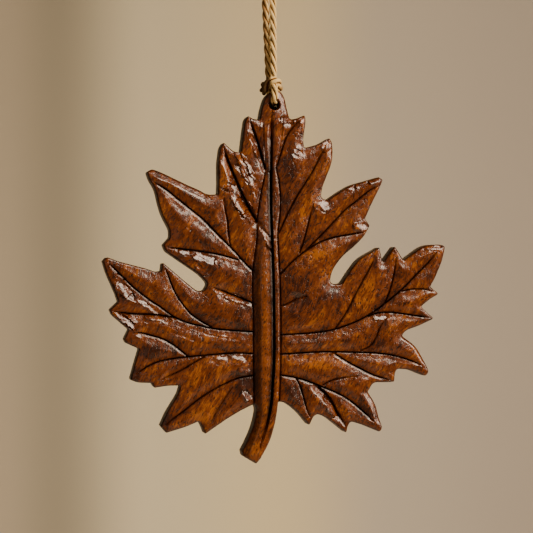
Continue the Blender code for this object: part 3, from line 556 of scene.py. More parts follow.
def nearest_on_line(points: np.ndarray, line: np.ndarray,
                    reach: float) -> tuple[np.ndarray, np.ndarray, np.ndarray]:
    """Measure points against a line.

    Args:
        points: rows of x and z.
        line: the line's points, in order.
        reach: how far away a point may be and still be measured.

    Returns:
        Distance to the line, length passed along it, and the offset from it as rows.
    """
    distance = np.full(len(points), reach * 4.0)
    along = np.zeros(len(points))
    offset = np.zeros((len(points), 2))
    offset[:, 1] = distance
    lengths = np.linalg.norm(np.diff(line, axis=0), axis=1)
    passed = np.concatenate(((0.0,), np.cumsum(lengths)))
    stretch = 16
    for first in range(0, len(lengths), stretch):
        last = min(first + stretch, len(lengths))
        part = line[first:last + 1]
        low = part.min(axis=0) - reach
        high = part.max(axis=0) + reach
        near = np.flatnonzero(((points >= low) & (points <= high)).all(axis=1))
        for index in range(first, last):
            direction = (line[index + 1] - line[index]) / lengths[index]
            from_start = points[near] - line[index]
            t = np.clip(from_start @ direction, 0.0, lengths[index])
            away = from_start - t[:, None] * direction
            far = np.sqrt((away ** 2).sum(axis=1))
            closer = far < distance[near]
            rows = near[closer]
            distance[rows] = far[closer]
            along[rows] = passed[index] + t[closer]
            offset[rows] = away[closer]
    return distance, along, offset


def inside(points: np.ndarray, loop: np.ndarray) -> np.ndarray:
    """Find which points lie inside a closed loop.

    Args:
        points: rows of x and z.
        loop: the loop's points, in order.

    Returns:
        True for each point inside.
    """
    result = np.zeros(len(points), dtype=bool)
    for start, end in zip(loop, np.roll(loop, -1, axis=0)):
        if start[1] == end[1]:
            continue
        crosses = (points[:, 1] < start[1]) != (points[:, 1] < end[1])
        where = start[0] + (points[:, 1] - start[1]) * (end[0] - start[0]) / (end[1] - start[1])
        result ^= crosses & (points[:, 0] < where)
    return result


def uneven(points: np.ndarray, wavelength: float, seed: float) -> np.ndarray:
    """Give each point a smooth random value.

    Args:
        points: rows of x and z, in metres.
        wavelength: the distance over which the value changes, in metres.
        seed: moves the pattern, so that two calls differ.

    Returns:
        Values from about -1 to 1.
    """
    scaled = points / wavelength
    return np.array([noise.noise(Vector((x, z, seed))) for x, z in scaled])


def select_only(obj: bpy.types.Object) -> None:
    """Deselect all, then make obj the one selected and active object."""
    bpy.ops.object.select_all(action="DESELECT")
    obj.select_set(True)
    bpy.context.view_layer.objects.active = obj


def mesh_object(name: str, places: np.ndarray, faces: list, smooth: bool) -> bpy.types.Object:
    """Make a mesh object.

    Args:
        name: the object's name.
        places: vertex places as rows.
        faces: vertex numbers of each face.
        smooth: whether its faces are shaded smooth.

    Returns:
        The new object, linked to the scene.
    """
    data = bpy.data.meshes.new(name)
    data.from_pydata([tuple(place) for place in places], [], [tuple(face) for face in faces])
    data.polygons.foreach_set("use_smooth", [smooth] * len(data.polygons))
    data.update()
    made = bpy.data.objects.new(name, data)
    bpy.context.scene.collection.objects.link(made)
    return made


@dataclass(frozen=True)
class WaxedCarvedWood:
    """Hardwood, carved by hand, stained brown and rubbed with wax until it shines."""

    name: str = "waxed_carved_wood"
    deep: str = "#391603"
    middle: str = "#6D3205"
    bright: str = "#A75E0E"
    crest: str = "#B4640C"
    stain_and_shade: str = "#0D0502"
    roughness: float = 0.42
    specular: float = 0.12
    coat: float = 0.90
    coat_roughness: float = 0.17
    coat_ior: float = 1.75
    grain_lean: float = math.radians(-25.0)
    swirl_mm: float = 26.0
    swirl_reach_mm: float = 11.0
    blotch_mm: float = 8.0
    mottle_mm: float = 1.9
    grain_width_mm: float = 0.80
    grain_length_mm: float = 5.5
    pore_width_mm: float = 0.50
    pore_length_mm: float = 1.7
    # Blotches, mottle and grain make the level of the stained tone in about equal parts, the shade
    # tips it
    blotch_share: float = 0.36
    mottle_share: float = 0.32
    grain_share: float = 0.32
    shade_share: float = 0.090
    # The midrib's raised crest is rubbed lighter, which also paints light on it
    crest_rubbed_and_lit: float = 0.16
    pore_start: float = 0.56
    pore_end: float = 0.66
    pore_darkness: float = 0.78
    # Wax that was wiped out of the dark cuts leaves them dull
    wax_left_in_cuts: float = 0.20
    stain_without_wax: float = 0.65
    bump_mm: float = 0.21

    def build(self) -> bpy.types.Material:
        """Make the material: blotched stained tone, dark cuts and painted shade, pores along the
        grain, and glossy wax.

        Returns:
            The material.
        """
        made, tree, shader = fresh_material(self.name)
        place = add_node(tree, "ShaderNodeTexCoord").outputs["Object"]
        swirl = add_node(tree, "ShaderNodeTexNoise",
                         {"Scale": 1.0 / (self.swirl_mm * MM), "Detail": 1.0}, {"Vector": place})
        bend = add_node(tree, "ShaderNodeVectorMath",
                        {"operation": "MULTIPLY_ADD", 1: (self.swirl_reach_mm * MM,) * 3},
                        {0: swirl.outputs["Color"], 2: place})
        place = add_node(tree, "ShaderNodeVectorRotate",
                         {"rotation_type": "Y_AXIS", "Angle": self.grain_lean},
                         {"Vector": bend.outputs[0]}).outputs[0]
        blotches = real_size_noise(tree, place, (self.blotch_mm, self.blotch_mm * 1.6), 3.0, 0.62)
        mottle = real_size_noise(tree, place, (self.mottle_mm, self.mottle_mm * 1.6), 3.0, 0.6)
        grain = real_size_noise(tree, place, (self.grain_width_mm, self.grain_length_mm),
                                3.0, 0.65)
        pores = real_size_noise(tree, place, (self.pore_width_mm, self.pore_length_mm), 1.0, 0.5)
        stored = {name: add_node(tree, "ShaderNodeAttribute",
                                 {"attribute_name": name}).outputs["Fac"]
                  for name in ("shade", "crest", "stain_and_shade")}
        level = weighted_sum(tree, ((blotches, self.blotch_share), (mottle, self.mottle_share),
                                    (grain, self.grain_share),
                                    (stored["shade"], self.shade_share)))
        colour = colour_ramp(tree, level, ((0.38, self.deep), (0.50, self.middle),
                                           (0.63, self.bright)))
        rubbed_and_lit = add_node(tree, "ShaderNodeMath",
                          {"operation": "MULTIPLY", 1: self.crest_rubbed_and_lit}, {0: stored["crest"]})
        in_pore = add_node(tree, "ShaderNodeMapRange",
                           {"From Min": self.pore_start, "From Max": self.pore_end,
                            "To Max": self.pore_darkness}, {"Value": pores}).outputs[0]
        # Over the tone: the lighter crest, partly painted light, the dark pores, then the staining
        # and painted shade
        colour = laid_over(tree, colour, ((rubbed_and_lit.outputs[0], self.crest), (in_pore, self.stain_and_shade),
                                          (stored["stain_and_shade"], self.stain_and_shade)))
        tree.links.new(colour, shader.inputs["Base Color"])
        dull = add_node(tree, "ShaderNodeMapRange",
                        {"From Min": 0.35, "From Max": 0.65, "To Min": self.roughness - 0.1,
                         "To Max": self.roughness + 0.12}, {"Value": mottle})
        tree.links.new(dull.outputs[0], shader.inputs["Roughness"])
        shader.inputs["Specular IOR Level"].default_value = self.specular
        wax = add_node(tree, "ShaderNodeMapRange",
                       {"From Max": self.stain_without_wax, "To Min": self.coat,
                        "To Max": self.coat * self.wax_left_in_cuts},
                       {"Value": stored["stain_and_shade"]})
        tree.links.new(wax.outputs[0], shader.inputs["Coat Weight"])
        shader.inputs["Coat Roughness"].default_value = self.coat_roughness
        shader.inputs["Coat IOR"].default_value = self.coat_ior
        relief = weighted_sum(tree, ((mottle, 0.50), (grain, 0.14), (in_pore, -0.22)))
        bump = add_node(tree, "ShaderNodeBump",
                        {"Strength": 1.0, "Distance": self.bump_mm * MM},
                        {"Height": relief})
        tree.links.new(bump.outputs[0], shader.inputs["Normal"])
        tree.links.new(bump.outputs[0], shader.inputs["Coat Normal"])
        return made


@dataclass(frozen=True)
class NaturalTwine:
    """Three-ply natural fibre twine: dry straw-coloured fibres, with painted shade in the hollows
    between the plies and on the twine's left side, and painted shadow in the hole and under the
    knot.
    """

    name: str = "natural_fibre_twine"
    dark: str = "#5C370F"
    middle: str = "#D7A055"
    bright: str = "#FFE09A"
    shade_and_edge_brown: str = "#7C440C"
    shadow_black: str = "#120903"
    roughness: float = 0.78
    specular: float = 0.10
    ply_gap_shade_strength: float = 0.62
    bump_mm: float = 0.12
    fibre_width_mm: float = 0.16
    fibre_length_mm: float = 4.0
    patch_mm: float = 3.0

    def build(self) -> bpy.types.Material:
        """Make the material: fibres drawn along each ply in its own UV map, in millimetres.

        Returns:
            The material.
        """
        made, tree, shader = fresh_material(self.name)
        around = add_node(tree, "ShaderNodeUVMap", {"uv_map": "fibres"}).outputs["UV"]
        fine = add_node(tree, "ShaderNodeVectorMath",
                        {"operation": "MULTIPLY",
                         1: (1.0 / self.fibre_width_mm, 1.0 / self.fibre_length_mm, 1.0)},
                        {0: around})
        fibres = add_node(tree, "ShaderNodeTexNoise",
                          {"Scale": 1.0, "Detail": 2.0, "Roughness": 0.6},
                          {"Vector": fine.outputs[0]}).outputs["Fac"]
        wide = add_node(tree, "ShaderNodeVectorMath",
                        {"operation": "MULTIPLY",
                         1: (1.0 / self.patch_mm, 0.5 / self.patch_mm, 1.0)}, {0: around})
        patches = add_node(tree, "ShaderNodeTexNoise", {"Scale": 1.0, "Detail": 2.0},
                           {"Vector": wide.outputs[0]}).outputs["Fac"]
        stored = {name: add_node(tree, "ShaderNodeAttribute",
                                 {"attribute_name": name}).outputs["Fac"]
                  for name in ("ply_gap_shade", "shade_and_edge_brown", "painted_shadow")}
        # Painted shade: darker in the hollows between the plies
        level = weighted_sum(tree, ((fibres, 0.65), (patches, 0.35),
                                    (stored["ply_gap_shade"], -self.ply_gap_shade_strength)))
        colour = colour_ramp(tree, level, ((0.14, self.dark), (0.30, self.middle),
                                           (0.42, self.bright)))
        # Painted shade brown on the left and a browner right edge, then painted shadow black in the
        # hole and under the knot
        colour = laid_over(tree, colour, ((stored["shade_and_edge_brown"], self.shade_and_edge_brown),
                                          (stored["painted_shadow"], self.shadow_black)))
        tree.links.new(colour, shader.inputs["Base Color"])
        shader.inputs["Roughness"].default_value = self.roughness
        shader.inputs["Specular IOR Level"].default_value = self.specular
        bump = add_node(tree, "ShaderNodeBump",
                        {"Strength": 0.9, "Distance": self.bump_mm * MM}, {"Height": fibres})
        tree.links.new(bump.outputs[0], shader.inputs["Normal"])
        return made


@dataclass(frozen=True)
class MattPaint:
    """Matt wall paint whose tone drifts slowly from left to right."""

    name: str
    tones: tuple[tuple[float, str], ...]
    start_x: float = -0.15
    end_x: float = 0.85

    def build(self) -> bpy.types.Material:
        """Make the material.

        Returns:
            The material.
        """
        made, tree, shader = fresh_material(self.name)
        place = add_node(tree, "ShaderNodeTexCoord").outputs["Object"]
        across = add_node(tree, "ShaderNodeSeparateXYZ", links={0: place}).outputs[0]
        share = add_node(tree, "ShaderNodeMapRange",
                         {"From Min": self.start_x, "From Max": self.end_x}, {"Value": across})
        colour = colour_ramp(tree, share.outputs[0], self.tones)
        tree.links.new(colour, shader.inputs["Base Color"])
        shader.inputs["Roughness"].default_value = 0.9
        return made


@dataclass
class LeafDrawing:
    """The drawing in squares, and how it turns into metres on the leaf."""

    width: float = 0.1536
    height: float = 0.1630
    square: float = 0.00044
    centre: tuple[float, float] = (266.5, 266.5)
    turn: float = math.radians(12.0)
    distance: float = 0.65
    hole: tuple[float, float] = (274.5, 105.8)
    lean: float = 0.0022
    drop: float = 0.0766

    def read(self, points: tuple | list) -> np.ndarray:
        """Undo the turn and the distance of the drawing.

        Args:
            points: places in squares, to the right and downwards.

        Returns:
            Flat places in metres, as rows of x and z.
        """
        squares = np.array([(point[0], point[1]) for point in points], dtype=float)
        across = (squares[:, 0] - self.centre[0]) * self.square / self.distance
        x = across * self.distance / (math.cos(self.turn) - across * math.sin(self.turn))
        nearness = 1.0 + x * math.sin(self.turn) / self.distance
        z = (self.centre[1] - squares[:, 1]) * self.square * nearness
        return np.column_stack((x, z))

    def on_leaf(self, points: tuple | list) -> np.ndarray:
        """Place drawing points on the leaf.

        Args:
            points: places in squares.

        Returns:
            Rows of x and z in the scene.
        """
        drawn = self.read(OUTLINE)
        scale = np.array((self.width, self.height)) / (drawn.max(axis=0) - drawn.min(axis=0))
        start = self.read((self.hole,))[0]
        return (self.read(points) - start) * scale + np.array((self.lean, -self.drop))


@dataclass(frozen=True)
class CutStainAndShade:
    """How the dark staining and painted shade lie in a carved line and beside it, the painted shade
    round the rim and the painted shadow in the hole.
    """

    width: float = 0.00036
    steep_share: float = 1.25
    steep_less: float = 0.0001
    halo: float = 0.34
    halo_width: float = 0.0007
    halo_steep_share: float = 0.95
    # Lines deeper than this, the midrib's split, get a wider dark edge, painted shade on the
    # split's flank
    deep_line: float = 1.5
    deep_line_shade: float = 1.45
    bank_wiped: float = 0.6
    weakest: float = 0.42
    by_depth: float = 0.55
    # Painted shade: a dark line along the rim's edge, darker walls, and painted shadow on the
    # hole's wall
    rim: float = 0.80
    rim_shade_width: float = 0.0005
    walls: float = 0.62
    hole: float = 1.0

    def in_line(self, distance: np.ndarray, on_bank: np.ndarray, steep: float,
                depth: float) -> np.ndarray:
        """Darken a carved line: black staining and painted shade in the cut, with a dark edge of
        dirt and painted shade that was wiped on its bank.

        Args:
            distance: how far each point is from the line.
            on_bank: from 0 on the steep side to 1 on the bank.
            steep: the width of the steep side.
            depth: the line's depth, as a share of the driving depth of the veins.

        Returns:
            How dark the staining and painted shade are, from 0 to 1.
        """
        width = max(self.width, self.steep_share * steep - self.steep_less)
        dark = np.exp(-(distance / width) ** 2)
        dirt_and_shade = self.deep_line_shade if depth > self.deep_line else 1.0 - self.bank_wiped * on_bank
        halo_width = self.halo_width + self.halo_steep_share * steep
        halo = self.halo * np.exp(-(distance / halo_width) ** 2) * dirt_and_shade
        strength = self.weakest + self.by_depth * min(1.0, depth)
        return strength * np.clip(dark + halo, 0.0, 1.0)


@dataclass
class CarvedLeaf:
    """The leaf: a carved front, walls round the rim and the hole, and a flat back."""

    drawing: LeafDrawing
    stain_and_shade: CutStainAndShade = CutStainAndShade()
    back_y: float = 0.0041
    rim_thickness: float = 0.0074
    rim_rounding: float = 0.0009
    panel_rise: float = 0.0010
    panel_reach: float = 0.0040
    vein_depth: float = 0.0017
    bank_width: float = 0.0017
    bank_slope: float = 0.42
    bank_way: tuple[float, float] = (-0.45, -0.89)
    faint: float = 0.08
    midrib_bed: float = 0.5
    front_tolerance: float = 0.0003
    steep_width: float = 0.00045
    seam_width: float = 0.0003
    midrib_rise: float = 0.0022
    midrib_edge_depth: float = 0.0008
    split_depth: float = 0.0034
    split_half_width: float = 0.0009
    split_shift: float = -0.0010
    rim_cut_depth: float = 0.0016
    hole_radius: float = 0.0024
    hole_rounding: float = 0.0007
    fade_in: float = 0.0060
    step: float = 0.00046
    arc_step: float = math.radians(14.0)
    stroke_length: float = 0.0065
    stroke_width: float = 0.0028
    window_lean: tuple[float, float] = (0.172, 0.361)
    window_lean_change: tuple[float, float] = (-1.20, -1.27)
    middle: tuple[float, float] = (-0.0014, -0.1474)
    midrib_fade: tuple[float, float] = (190.0, 290.0)
    edge_line_start: tuple[float, float] = (150.0, 182.0)
    edge_line_end: float = 406.0
    split_start: tuple[float, float] = (108.0, 172.0)
    split_end: tuple[float, float] = (450.0, 416.0)
    wave_height: float = 0.00012
    wave_length: float = 0.0050
    ripple_height: float = 0.00007
    ripple_length: float = 0.0017
    ragged_edge: float = 0.55
    hole_sides: int = 48
    back_chamfer: float = 0.0007

    def __post_init__(self) -> None:
        """Work out the outline, the carved lines and the way to their banks once."""
        self.hole_centre = np.array((self.drawing.lean, -self.drawing.drop))
        self.outline = self.rounded_outline()
        self.closed = np.vstack((self.outline, self.outline[:1]))
        self.lines = self.carved_lines()
        self.towards_bank = np.array(self.bank_way)

    def rounded_outline(self) -> np.ndarray:
        """Round the corners of the outline.

        Returns:
            The outline's points, in order, at most a step apart.
        """
        corners = self.drawing.on_leaf(OUTLINE)
        loop = []
        for index, corner in enumerate(corners):
            into = corner - corners[index - 1]
            out = corners[(index + 1) % len(corners)] - corner
            room = 0.48 * min(np.linalg.norm(into), np.linalg.norm(out))
            into = into / np.linalg.norm(into)
            out = out / np.linalg.norm(out)
            turn = math.acos(max(-1.0, min(1.0, float(into @ out))))
            reach = min(OUTLINE[index][2].value * math.tan(turn / 2.0), room)
            start = corner - into * reach
            end = corner + out * reach
            pieces = max(math.ceil(turn / self.arc_step), math.ceil(2.0 * reach / self.step))
            for piece in range(pieces + 1):
                t = piece / pieces
                loop.append((1.0 - t) ** 2 * start + 2.0 * t * (1.0 - t) * corner + t ** 2 * end)
        filled = []
        for index, point in enumerate(loop):
            ahead = loop[(index + 1) % len(loop)]
            pieces = max(1, math.ceil(np.linalg.norm(ahead - point) / self.step))
            filled.extend(point + (ahead - point) * k / pieces for k in range(pieces))
        return np.array(filled)

    def carved_lines(self) -> list[tuple[np.ndarray, float, float, float, tuple]]:
        """Lay out every carved line.

        Returns:
            For each line its points, its depth, the widths of its bank and steep side, and the
            heights between which it comes up to its depth.
        """
        lines = []
        for vein in VEINS:
            lines.append((smooth_line(self.drawing.on_leaf(vein.line), self.step),
                          vein.depth * self.vein_depth, vein.bank * self.bank_width,
                          self.steep_width, ()))
        for edge in (MIDRIB_LEFT, MIDRIB_RIGHT):
            kept = [point for point in edge if point[1] <= self.edge_line_end]
            lines.append((smooth_line(self.drawing.on_leaf(kept), self.step),
                          self.midrib_edge_depth, self.steep_width, self.steep_width,
                          (self.edge_line_start,)))
        split = self.drawing.on_leaf(MIDRIB_SPLIT) + np.array((self.split_shift, 0.0))
        lines.append((smooth_line(split, self.step), self.split_depth, self.split_half_width,
                      self.split_half_width, (self.split_start, self.split_end)))
        return lines

    def comes_up(self, points: np.ndarray, rows: tuple[float, float]) -> np.ndarray:
        """Run from 0 to 1 between two heights that are given in squares.

        Args:
            points: rows of x and z.
            rows: the height where it is 0, and the height where it is 1.

        Returns:
            The share at each point.
        """
        heights = self.drawing.on_leaf(tuple((0.0, row) for row in rows))[:, 1]
        return np.clip((points[:, 1] - heights[0]) / (heights[1] - heights[0]), 0.0, 1.0)

    def midrib(self, points: np.ndarray) -> tuple[np.ndarray, np.ndarray, np.ndarray]:
        """Shape the raised midrib.

        Args:
            points: rows of x and z.

        Returns:
            Its height over the panels, where it is, and how near each point is to its crest.
        """
        edges = []
        for line in (MIDRIB_LEFT, MIDRIB_SPLIT, MIDRIB_RIGHT):
            places = smooth_line(self.drawing.on_leaf(line), self.step * 4.0)[::-1]
            edges.append(np.interp(points[:, 1], places[:, 1], places[:, 0]))
        left, split, right = edges
        fade = self.comes_up(points, self.midrib_fade)
        flank = np.clip((points[:, 0] - left) / (0.40 * (split - left)), 0.0, 1.0)
        strip = np.clip((right - points[:, 0]) / (0.35 * (right - split)), 0.0, 1.0)
        within = (points[:, 0] > left) & (points[:, 0] < right) & (fade > 0.0)
        wide = flank ** 2 * (3.0 - 2.0 * flank) * (points[:, 0] <= split)
        narrow = 0.45 * strip ** 2 * (3.0 - 2.0 * strip) * (points[:, 0] > split)
        rise = (wide + narrow) * fade * within
        return self.midrib_rise * rise, within, rise

    def relief(self, points: np.ndarray) -> tuple[np.ndarray, np.ndarray, np.ndarray]:
        """Carve the front.

        Args:
            points: rows of x and z.

        Returns:
            Height above the back, how dark the staining and painted shade are, and how near a crest
            each point is.
        """
        far = self.panel_reach * 3.0
        rim, _, _ = nearest_on_line(points, self.closed, far)
        nearest = rim.copy()
        cut = np.zeros(len(points))
        stain_and_shade = np.zeros(len(points))
        for line, depth, bank, steep, rows in self.lines:
            distance, along, offset = nearest_on_line(points, line, far)
            start = np.clip(along / self.fade_in, 0.0, 1.0)
            for pair in rows:
                start = start * (self.faint + (1.0 - self.faint) * self.comes_up(points, pair))
            side = offset @ self.towards_bank / np.maximum(distance, 1e-9)
            share = np.clip(0.5 + 1.5 * side, 0.0, 1.0)
            width = steep + (bank - steep) * share
            steep_cut = depth * np.clip(1.0 - distance / steep, 0.0, 1.0)
            slope = min(self.bank_slope, depth / bank)
            facet = slope * np.clip(bank - distance, 0.0, None)
            seam = (depth - slope * bank) * np.clip(1.0 - distance / self.seam_width, 0.0, 1.0)
            groove = steep_cut * (1.0 - share) + (facet + seam) * share
            groove = np.where(distance < width, groove, 0.0)
            cut = np.maximum(cut, start * groove)
            # Staining and painted shade in and beside the cut
            in_line = self.stain_and_shade.in_line(distance, share, steep, depth / self.vein_depth)
            stain_and_shade = np.maximum(stain_and_shade, start * in_line)
            nearest = np.minimum(nearest, distance / np.maximum(start, 0.05))
        for flat in RIM_CUTS:
            distance, _, _ = nearest_on_line(points, self.drawing.on_leaf(flat.line), far)
            depth = min(self.rim_cut_depth, flat.width * flat.slope)
            cut = np.maximum(cut, depth * np.clip(1.0 - distance / flat.width, 0.0, 1.0))
        for scratch in SCRATCHES:
            line = smooth_line(self.drawing.on_leaf(scratch.line), self.step)
            distance, _, _ = nearest_on_line(points, line, far)
            cut = cut + scratch.depth * np.clip(1.0 - distance / scratch.half_width, 0.0, 1.0)
        rise, on_midrib, crest = self.midrib(points)
        panel = self.panel_rise * (1.0 - np.exp(-(nearest / self.panel_reach) ** 2))
        panel[on_midrib] = np.minimum(panel, self.panel_rise * self.midrib_bed)[on_midrib]
        rounding = self.rolled(rim, self.rim_rounding)
        hole = np.linalg.norm(points - self.hole_centre, axis=1) - self.hole_radius
        rounding = rounding + self.rolled(hole, self.hole_rounding)
        height = self.rim_thickness + panel + rise - cut - rounding
        height = height + self.hand_marks(points) * np.clip(rim / self.rim_rounding, 0.0, 1.0)
        crest = np.clip(crest, 0.0, 1.0) * (1.0 - stain_and_shade)
        # Painted shade: a dark line along the rim's edge
        stain_and_shade = np.maximum(stain_and_shade, self.stain_and_shade.rim * np.exp(-(rim / self.stain_and_shade.rim_shade_width) ** 2))
        return height, stain_and_shade, crest

    @staticmethod
    def rolled(distance: np.ndarray, radius: float) -> np.ndarray:
        """How far a rounded edge falls away at a distance from it."""
        roll = np.clip(1.0 - distance / radius, 0.0, 1.0)
        return radius * (1.0 - np.sqrt(1.0 - roll ** 2))

    def hand_marks(self, points: np.ndarray) -> np.ndarray:
        """Add what the hand tools left: waves, ripples, hollows and gouge strokes.

        Args:
            points: rows of x and z.

        Returns:
            The change of height at each point.
        """
        marks = self.wave_height * uneven(points, self.wave_length, 3.7)
        marks += self.ripple_height * uneven(points, self.ripple_length, 9.1)
        chips = (1.6 * MM * uneven(points, 4.2 * MM, 14.2),
                 0.9 * MM * uneven(points, 5.5 * MM, 26.8))
        ragged = self.ragged_edge * uneven(points, 2.6 * MM, 52.4)
        for dish in DISHES:
            centre = self.drawing.on_leaf((dish.centre,))[0]
            away = points - centre
            turn = math.radians(-dish.turn)
            along = away @ np.array((math.cos(turn), math.sin(turn)))
            across = away @ np.array((-math.sin(turn), math.cos(turn)))
            radii = np.array(dish.radii) * self.drawing.square
            reach = np.sqrt((along / radii[0]) ** 2 + (across / radii[1]) ** 2) + ragged
            share = np.clip((1.2 - reach) / 0.40, 0.0, 1.0)
            lean = (np.array(self.window_lean)
                    + np.array(self.window_lean_change) * (centre - np.array(self.middle)))
            strokes = np.zeros(len(points))
            for axis, passed, radius, pitch, chip in (
                    ((math.cos(turn), math.sin(turn)), along, radii[0], self.stroke_length,
                     chips[0]),
                    ((-math.sin(turn), math.cos(turn)), across, radii[1], self.stroke_width,
                     chips[1])):
                pitch = max(pitch, 2.2 * radius) if radius < pitch else pitch
                count = (passed + chip) / pitch + 0.5
                strokes += (count - np.floor(count) - 0.5) * pitch * float(lean @ np.array(axis))
            marks -= dish.lean * strokes * share ** 2 * (3.0 - 2.0 * share)
        for flutes in FLUTES:
            marks += self.fluted(points, flutes)
        return marks

    def fluted(self, points: np.ndarray, flutes: Flutes) -> np.ndarray:
        """Cut side-by-side strokes along a line, each one broken where the gouge lifted.

        Args:
            points: rows of x and z.
            flutes: the strokes.

        Returns:
            The change of height at each point.
        """
        width = flutes.width * self.drawing.square
        line = smooth_line(self.drawing.on_leaf(flutes.line), self.step * 2.0)
        distance, along, offset = nearest_on_line(points, line, width)
        near = distance < width * 0.75
        marks = np.zeros(len(points))
        across = offset[near] @ self.towards_bank
        side = np.where(across < 0.0, -distance[near], distance[near]) / width
        total = np.linalg.norm(np.diff(line, axis=0), axis=1).sum()
        ends = np.clip(np.minimum(along, total - along)[near] / (1.5 * MM), 0.0, 1.0)
        edge = np.clip((0.62 - np.abs(side)) / 0.25, 0.0, 1.0)
        row = side * flutes.count + 0.30 * uneven(points[near], 3.5 * MM, 21.3)
        stroke = np.abs(np.sin(math.pi * row))
        number = np.floor(row)
        lift = np.array([noise.noise(Vector((s / (2.6 * MM), n * 3.1, 4.4)))
                         for s, n in zip(along[near], number)])
        marks[near] = -flutes.depth * stroke * edge * ends * np.clip(0.75 + 1.6 * lift, 0.1, 1.5)
        return marks

    def shade(self, points: np.ndarray) -> np.ndarray:
        """Tell how much darker or lighter each place is drawn, with painted light and shade along
        the midrib.

        Args:
            points: rows of x and z.

        Returns:
            A shade from dark -1 to light 1 at each point.
        """
        shades = np.zeros(len(points))
        wander = 1.6 * MM * np.column_stack((uneven(points, 4.5 * MM, 31.7),
                                             uneven(points, 4.5 * MM, 47.3)))
        for patch in PATCHES:
            away = points + wander - self.drawing.on_leaf((patch.centre,))[0]
            turn = math.radians(-patch.turn)
            along = away @ np.array((math.cos(turn), math.sin(turn)))
            across = away @ np.array((-math.sin(turn), math.cos(turn)))
            radii = np.array(patch.radii) * self.drawing.square
            shades += patch.shade * np.exp(-((along / radii[0]) ** 2 + (across / radii[1]) ** 2))
        return shades

    def sheet_points(self) -> tuple[list[tuple[float, float]], list[tuple[int, int]]]:
        """Lay out the front: rim, hole, carved lines, their shoulders, and an even grid.

        Returns:
            The points, and the pairs of them that edges must join.
        """
        turns = np.arange(self.hole_sides) * 2.0 * math.pi / self.hole_sides
        hole = self.hole_centre + self.hole_radius * np.column_stack((np.cos(turns),
                                                                      np.sin(turns)))
        points = [tuple(point) for point in self.outline] + [tuple(point) for point in hole]
        count = len(self.outline)
        edges = [(k, (k + 1) % count) for k in range(count)]
        edges += [(count + k, count + (k + 1) % len(hole)) for k in range(len(hole))]
        loose = []
        for line, _, bank, steep, _ in self.lines:
            kept = self.clear_of_rim(line, self.step)
            before = None
            for point, keep in zip(line, kept):
                if keep:
                    points.append(tuple(point))
                    if before is not None:
                        edges.append((before, len(points) - 1))
                    before = len(points) - 1
                else:
                    before = None
            run = np.gradient(line, axis=0)
            across = np.column_stack((run[:, 1], -run[:, 0]))
            across /= np.linalg.norm(across, axis=1)[:, None]
            across *= np.sign(across @ self.towards_bank)[:, None]
            loose += [line + across * bank, line - across * steep, line + across * self.seam_width]
        run = np.roll(self.outline, -1, axis=0) - np.roll(self.outline, 1, axis=0)
        inward = np.column_stack((-run[:, 1], run[:, 0]))
        inward /= np.linalg.norm(inward, axis=1)[:, None]
        for share in (0.12, 0.42, 0.95):
            loose.append(self.outline + inward * self.rim_rounding * share)
        for share in (0.5, 1.1):
            radius = self.hole_radius + self.hole_rounding * share
            loose.append(self.hole_centre + radius * np.column_stack((np.cos(turns),
                                                                      np.sin(turns))))
        shoulders = np.vstack(loose)
        shoulders = shoulders[self.clear_of_rim(shoulders, self.rim_rounding * 0.1)]
        low = self.outline.min(axis=0)
        high = self.outline.max(axis=0)
        rows = []
        for row, z in enumerate(np.arange(low[1], high[1], self.step * math.sqrt(0.75))):
            x = np.arange(low[0] + (row % 2) * self.step / 2.0, high[0], self.step)
            rows.append(np.column_stack((x, np.full(len(x), z))))
        grid = np.vstack(rows)
        grid = grid[self.clear_of_rim(grid, self.step * 0.6)]
        cell = self.step * 0.62
        taken = {(math.floor(x / cell), math.floor(z / cell)) for x, z in points}
        for spaced, candidates in ((False, shoulders), (True, grid)):
            for x, z in candidates:
                key = (math.floor(x / cell), math.floor(z / cell))
                around = [(key[0] + i, key[1] + j) for i in (-1, 0, 1) for j in (-1, 0, 1)]
                if key in taken or (spaced and sum(spot in taken for spot in around) > 2):
                    continue
                taken.add(key)
                points.append((x, z))
        return points, edges

    def clear_of_rim(self, candidates: np.ndarray, clearance: float) -> np.ndarray:
        """Find which points lie on the front, clear of the rim and the hole.

        Args:
            candidates: rows of x and z.
            clearance: how far from them a point must be.

        Returns:
            True for each point that does.
        """
        rim, _, _ = nearest_on_line(candidates, self.closed, clearance * 2.0)
        hole = np.linalg.norm(candidates - self.hole_centre, axis=1) - self.hole_radius
        return inside(candidates, self.outline) & (rim > clearance) & (hole > clearance * 0.9)

    def build(self, finish: bpy.types.Material) -> bpy.types.Object:
        """Make the carved leaf.

        Args:
            finish: its material.

        Returns:
            The leaf, in place of its CAD node.
        """
        points, edges = self.sheet_points()
        flat, _, faces, _, _, _ = delaunay_2d_cdt([Vector(point) for point in points], edges,
                                                  [], 1, 1e-7)
        places = np.array([tuple(point) for point in flat])
        height, _, _ = self.relief(places)
        middles = np.array([places[list(face)].mean(axis=0) for face in faces])
        solid = np.linalg.norm(middles - self.hole_centre, axis=1) > self.hole_radius * 0.997
        front = [face for face, keep in zip(faces, solid) if keep]
        corners = np.column_stack((places[:, 0], self.back_y - height, places[:, 1]))
        leaf = mesh_object("carved_leaf", corners, front, True)
        self.close_behind(leaf)
        self.write_values(leaf)
        leaf.data.materials.clear()
        leaf.data.materials.append(finish)
        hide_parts("leaf")
        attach(leaf, "root")
        return leaf

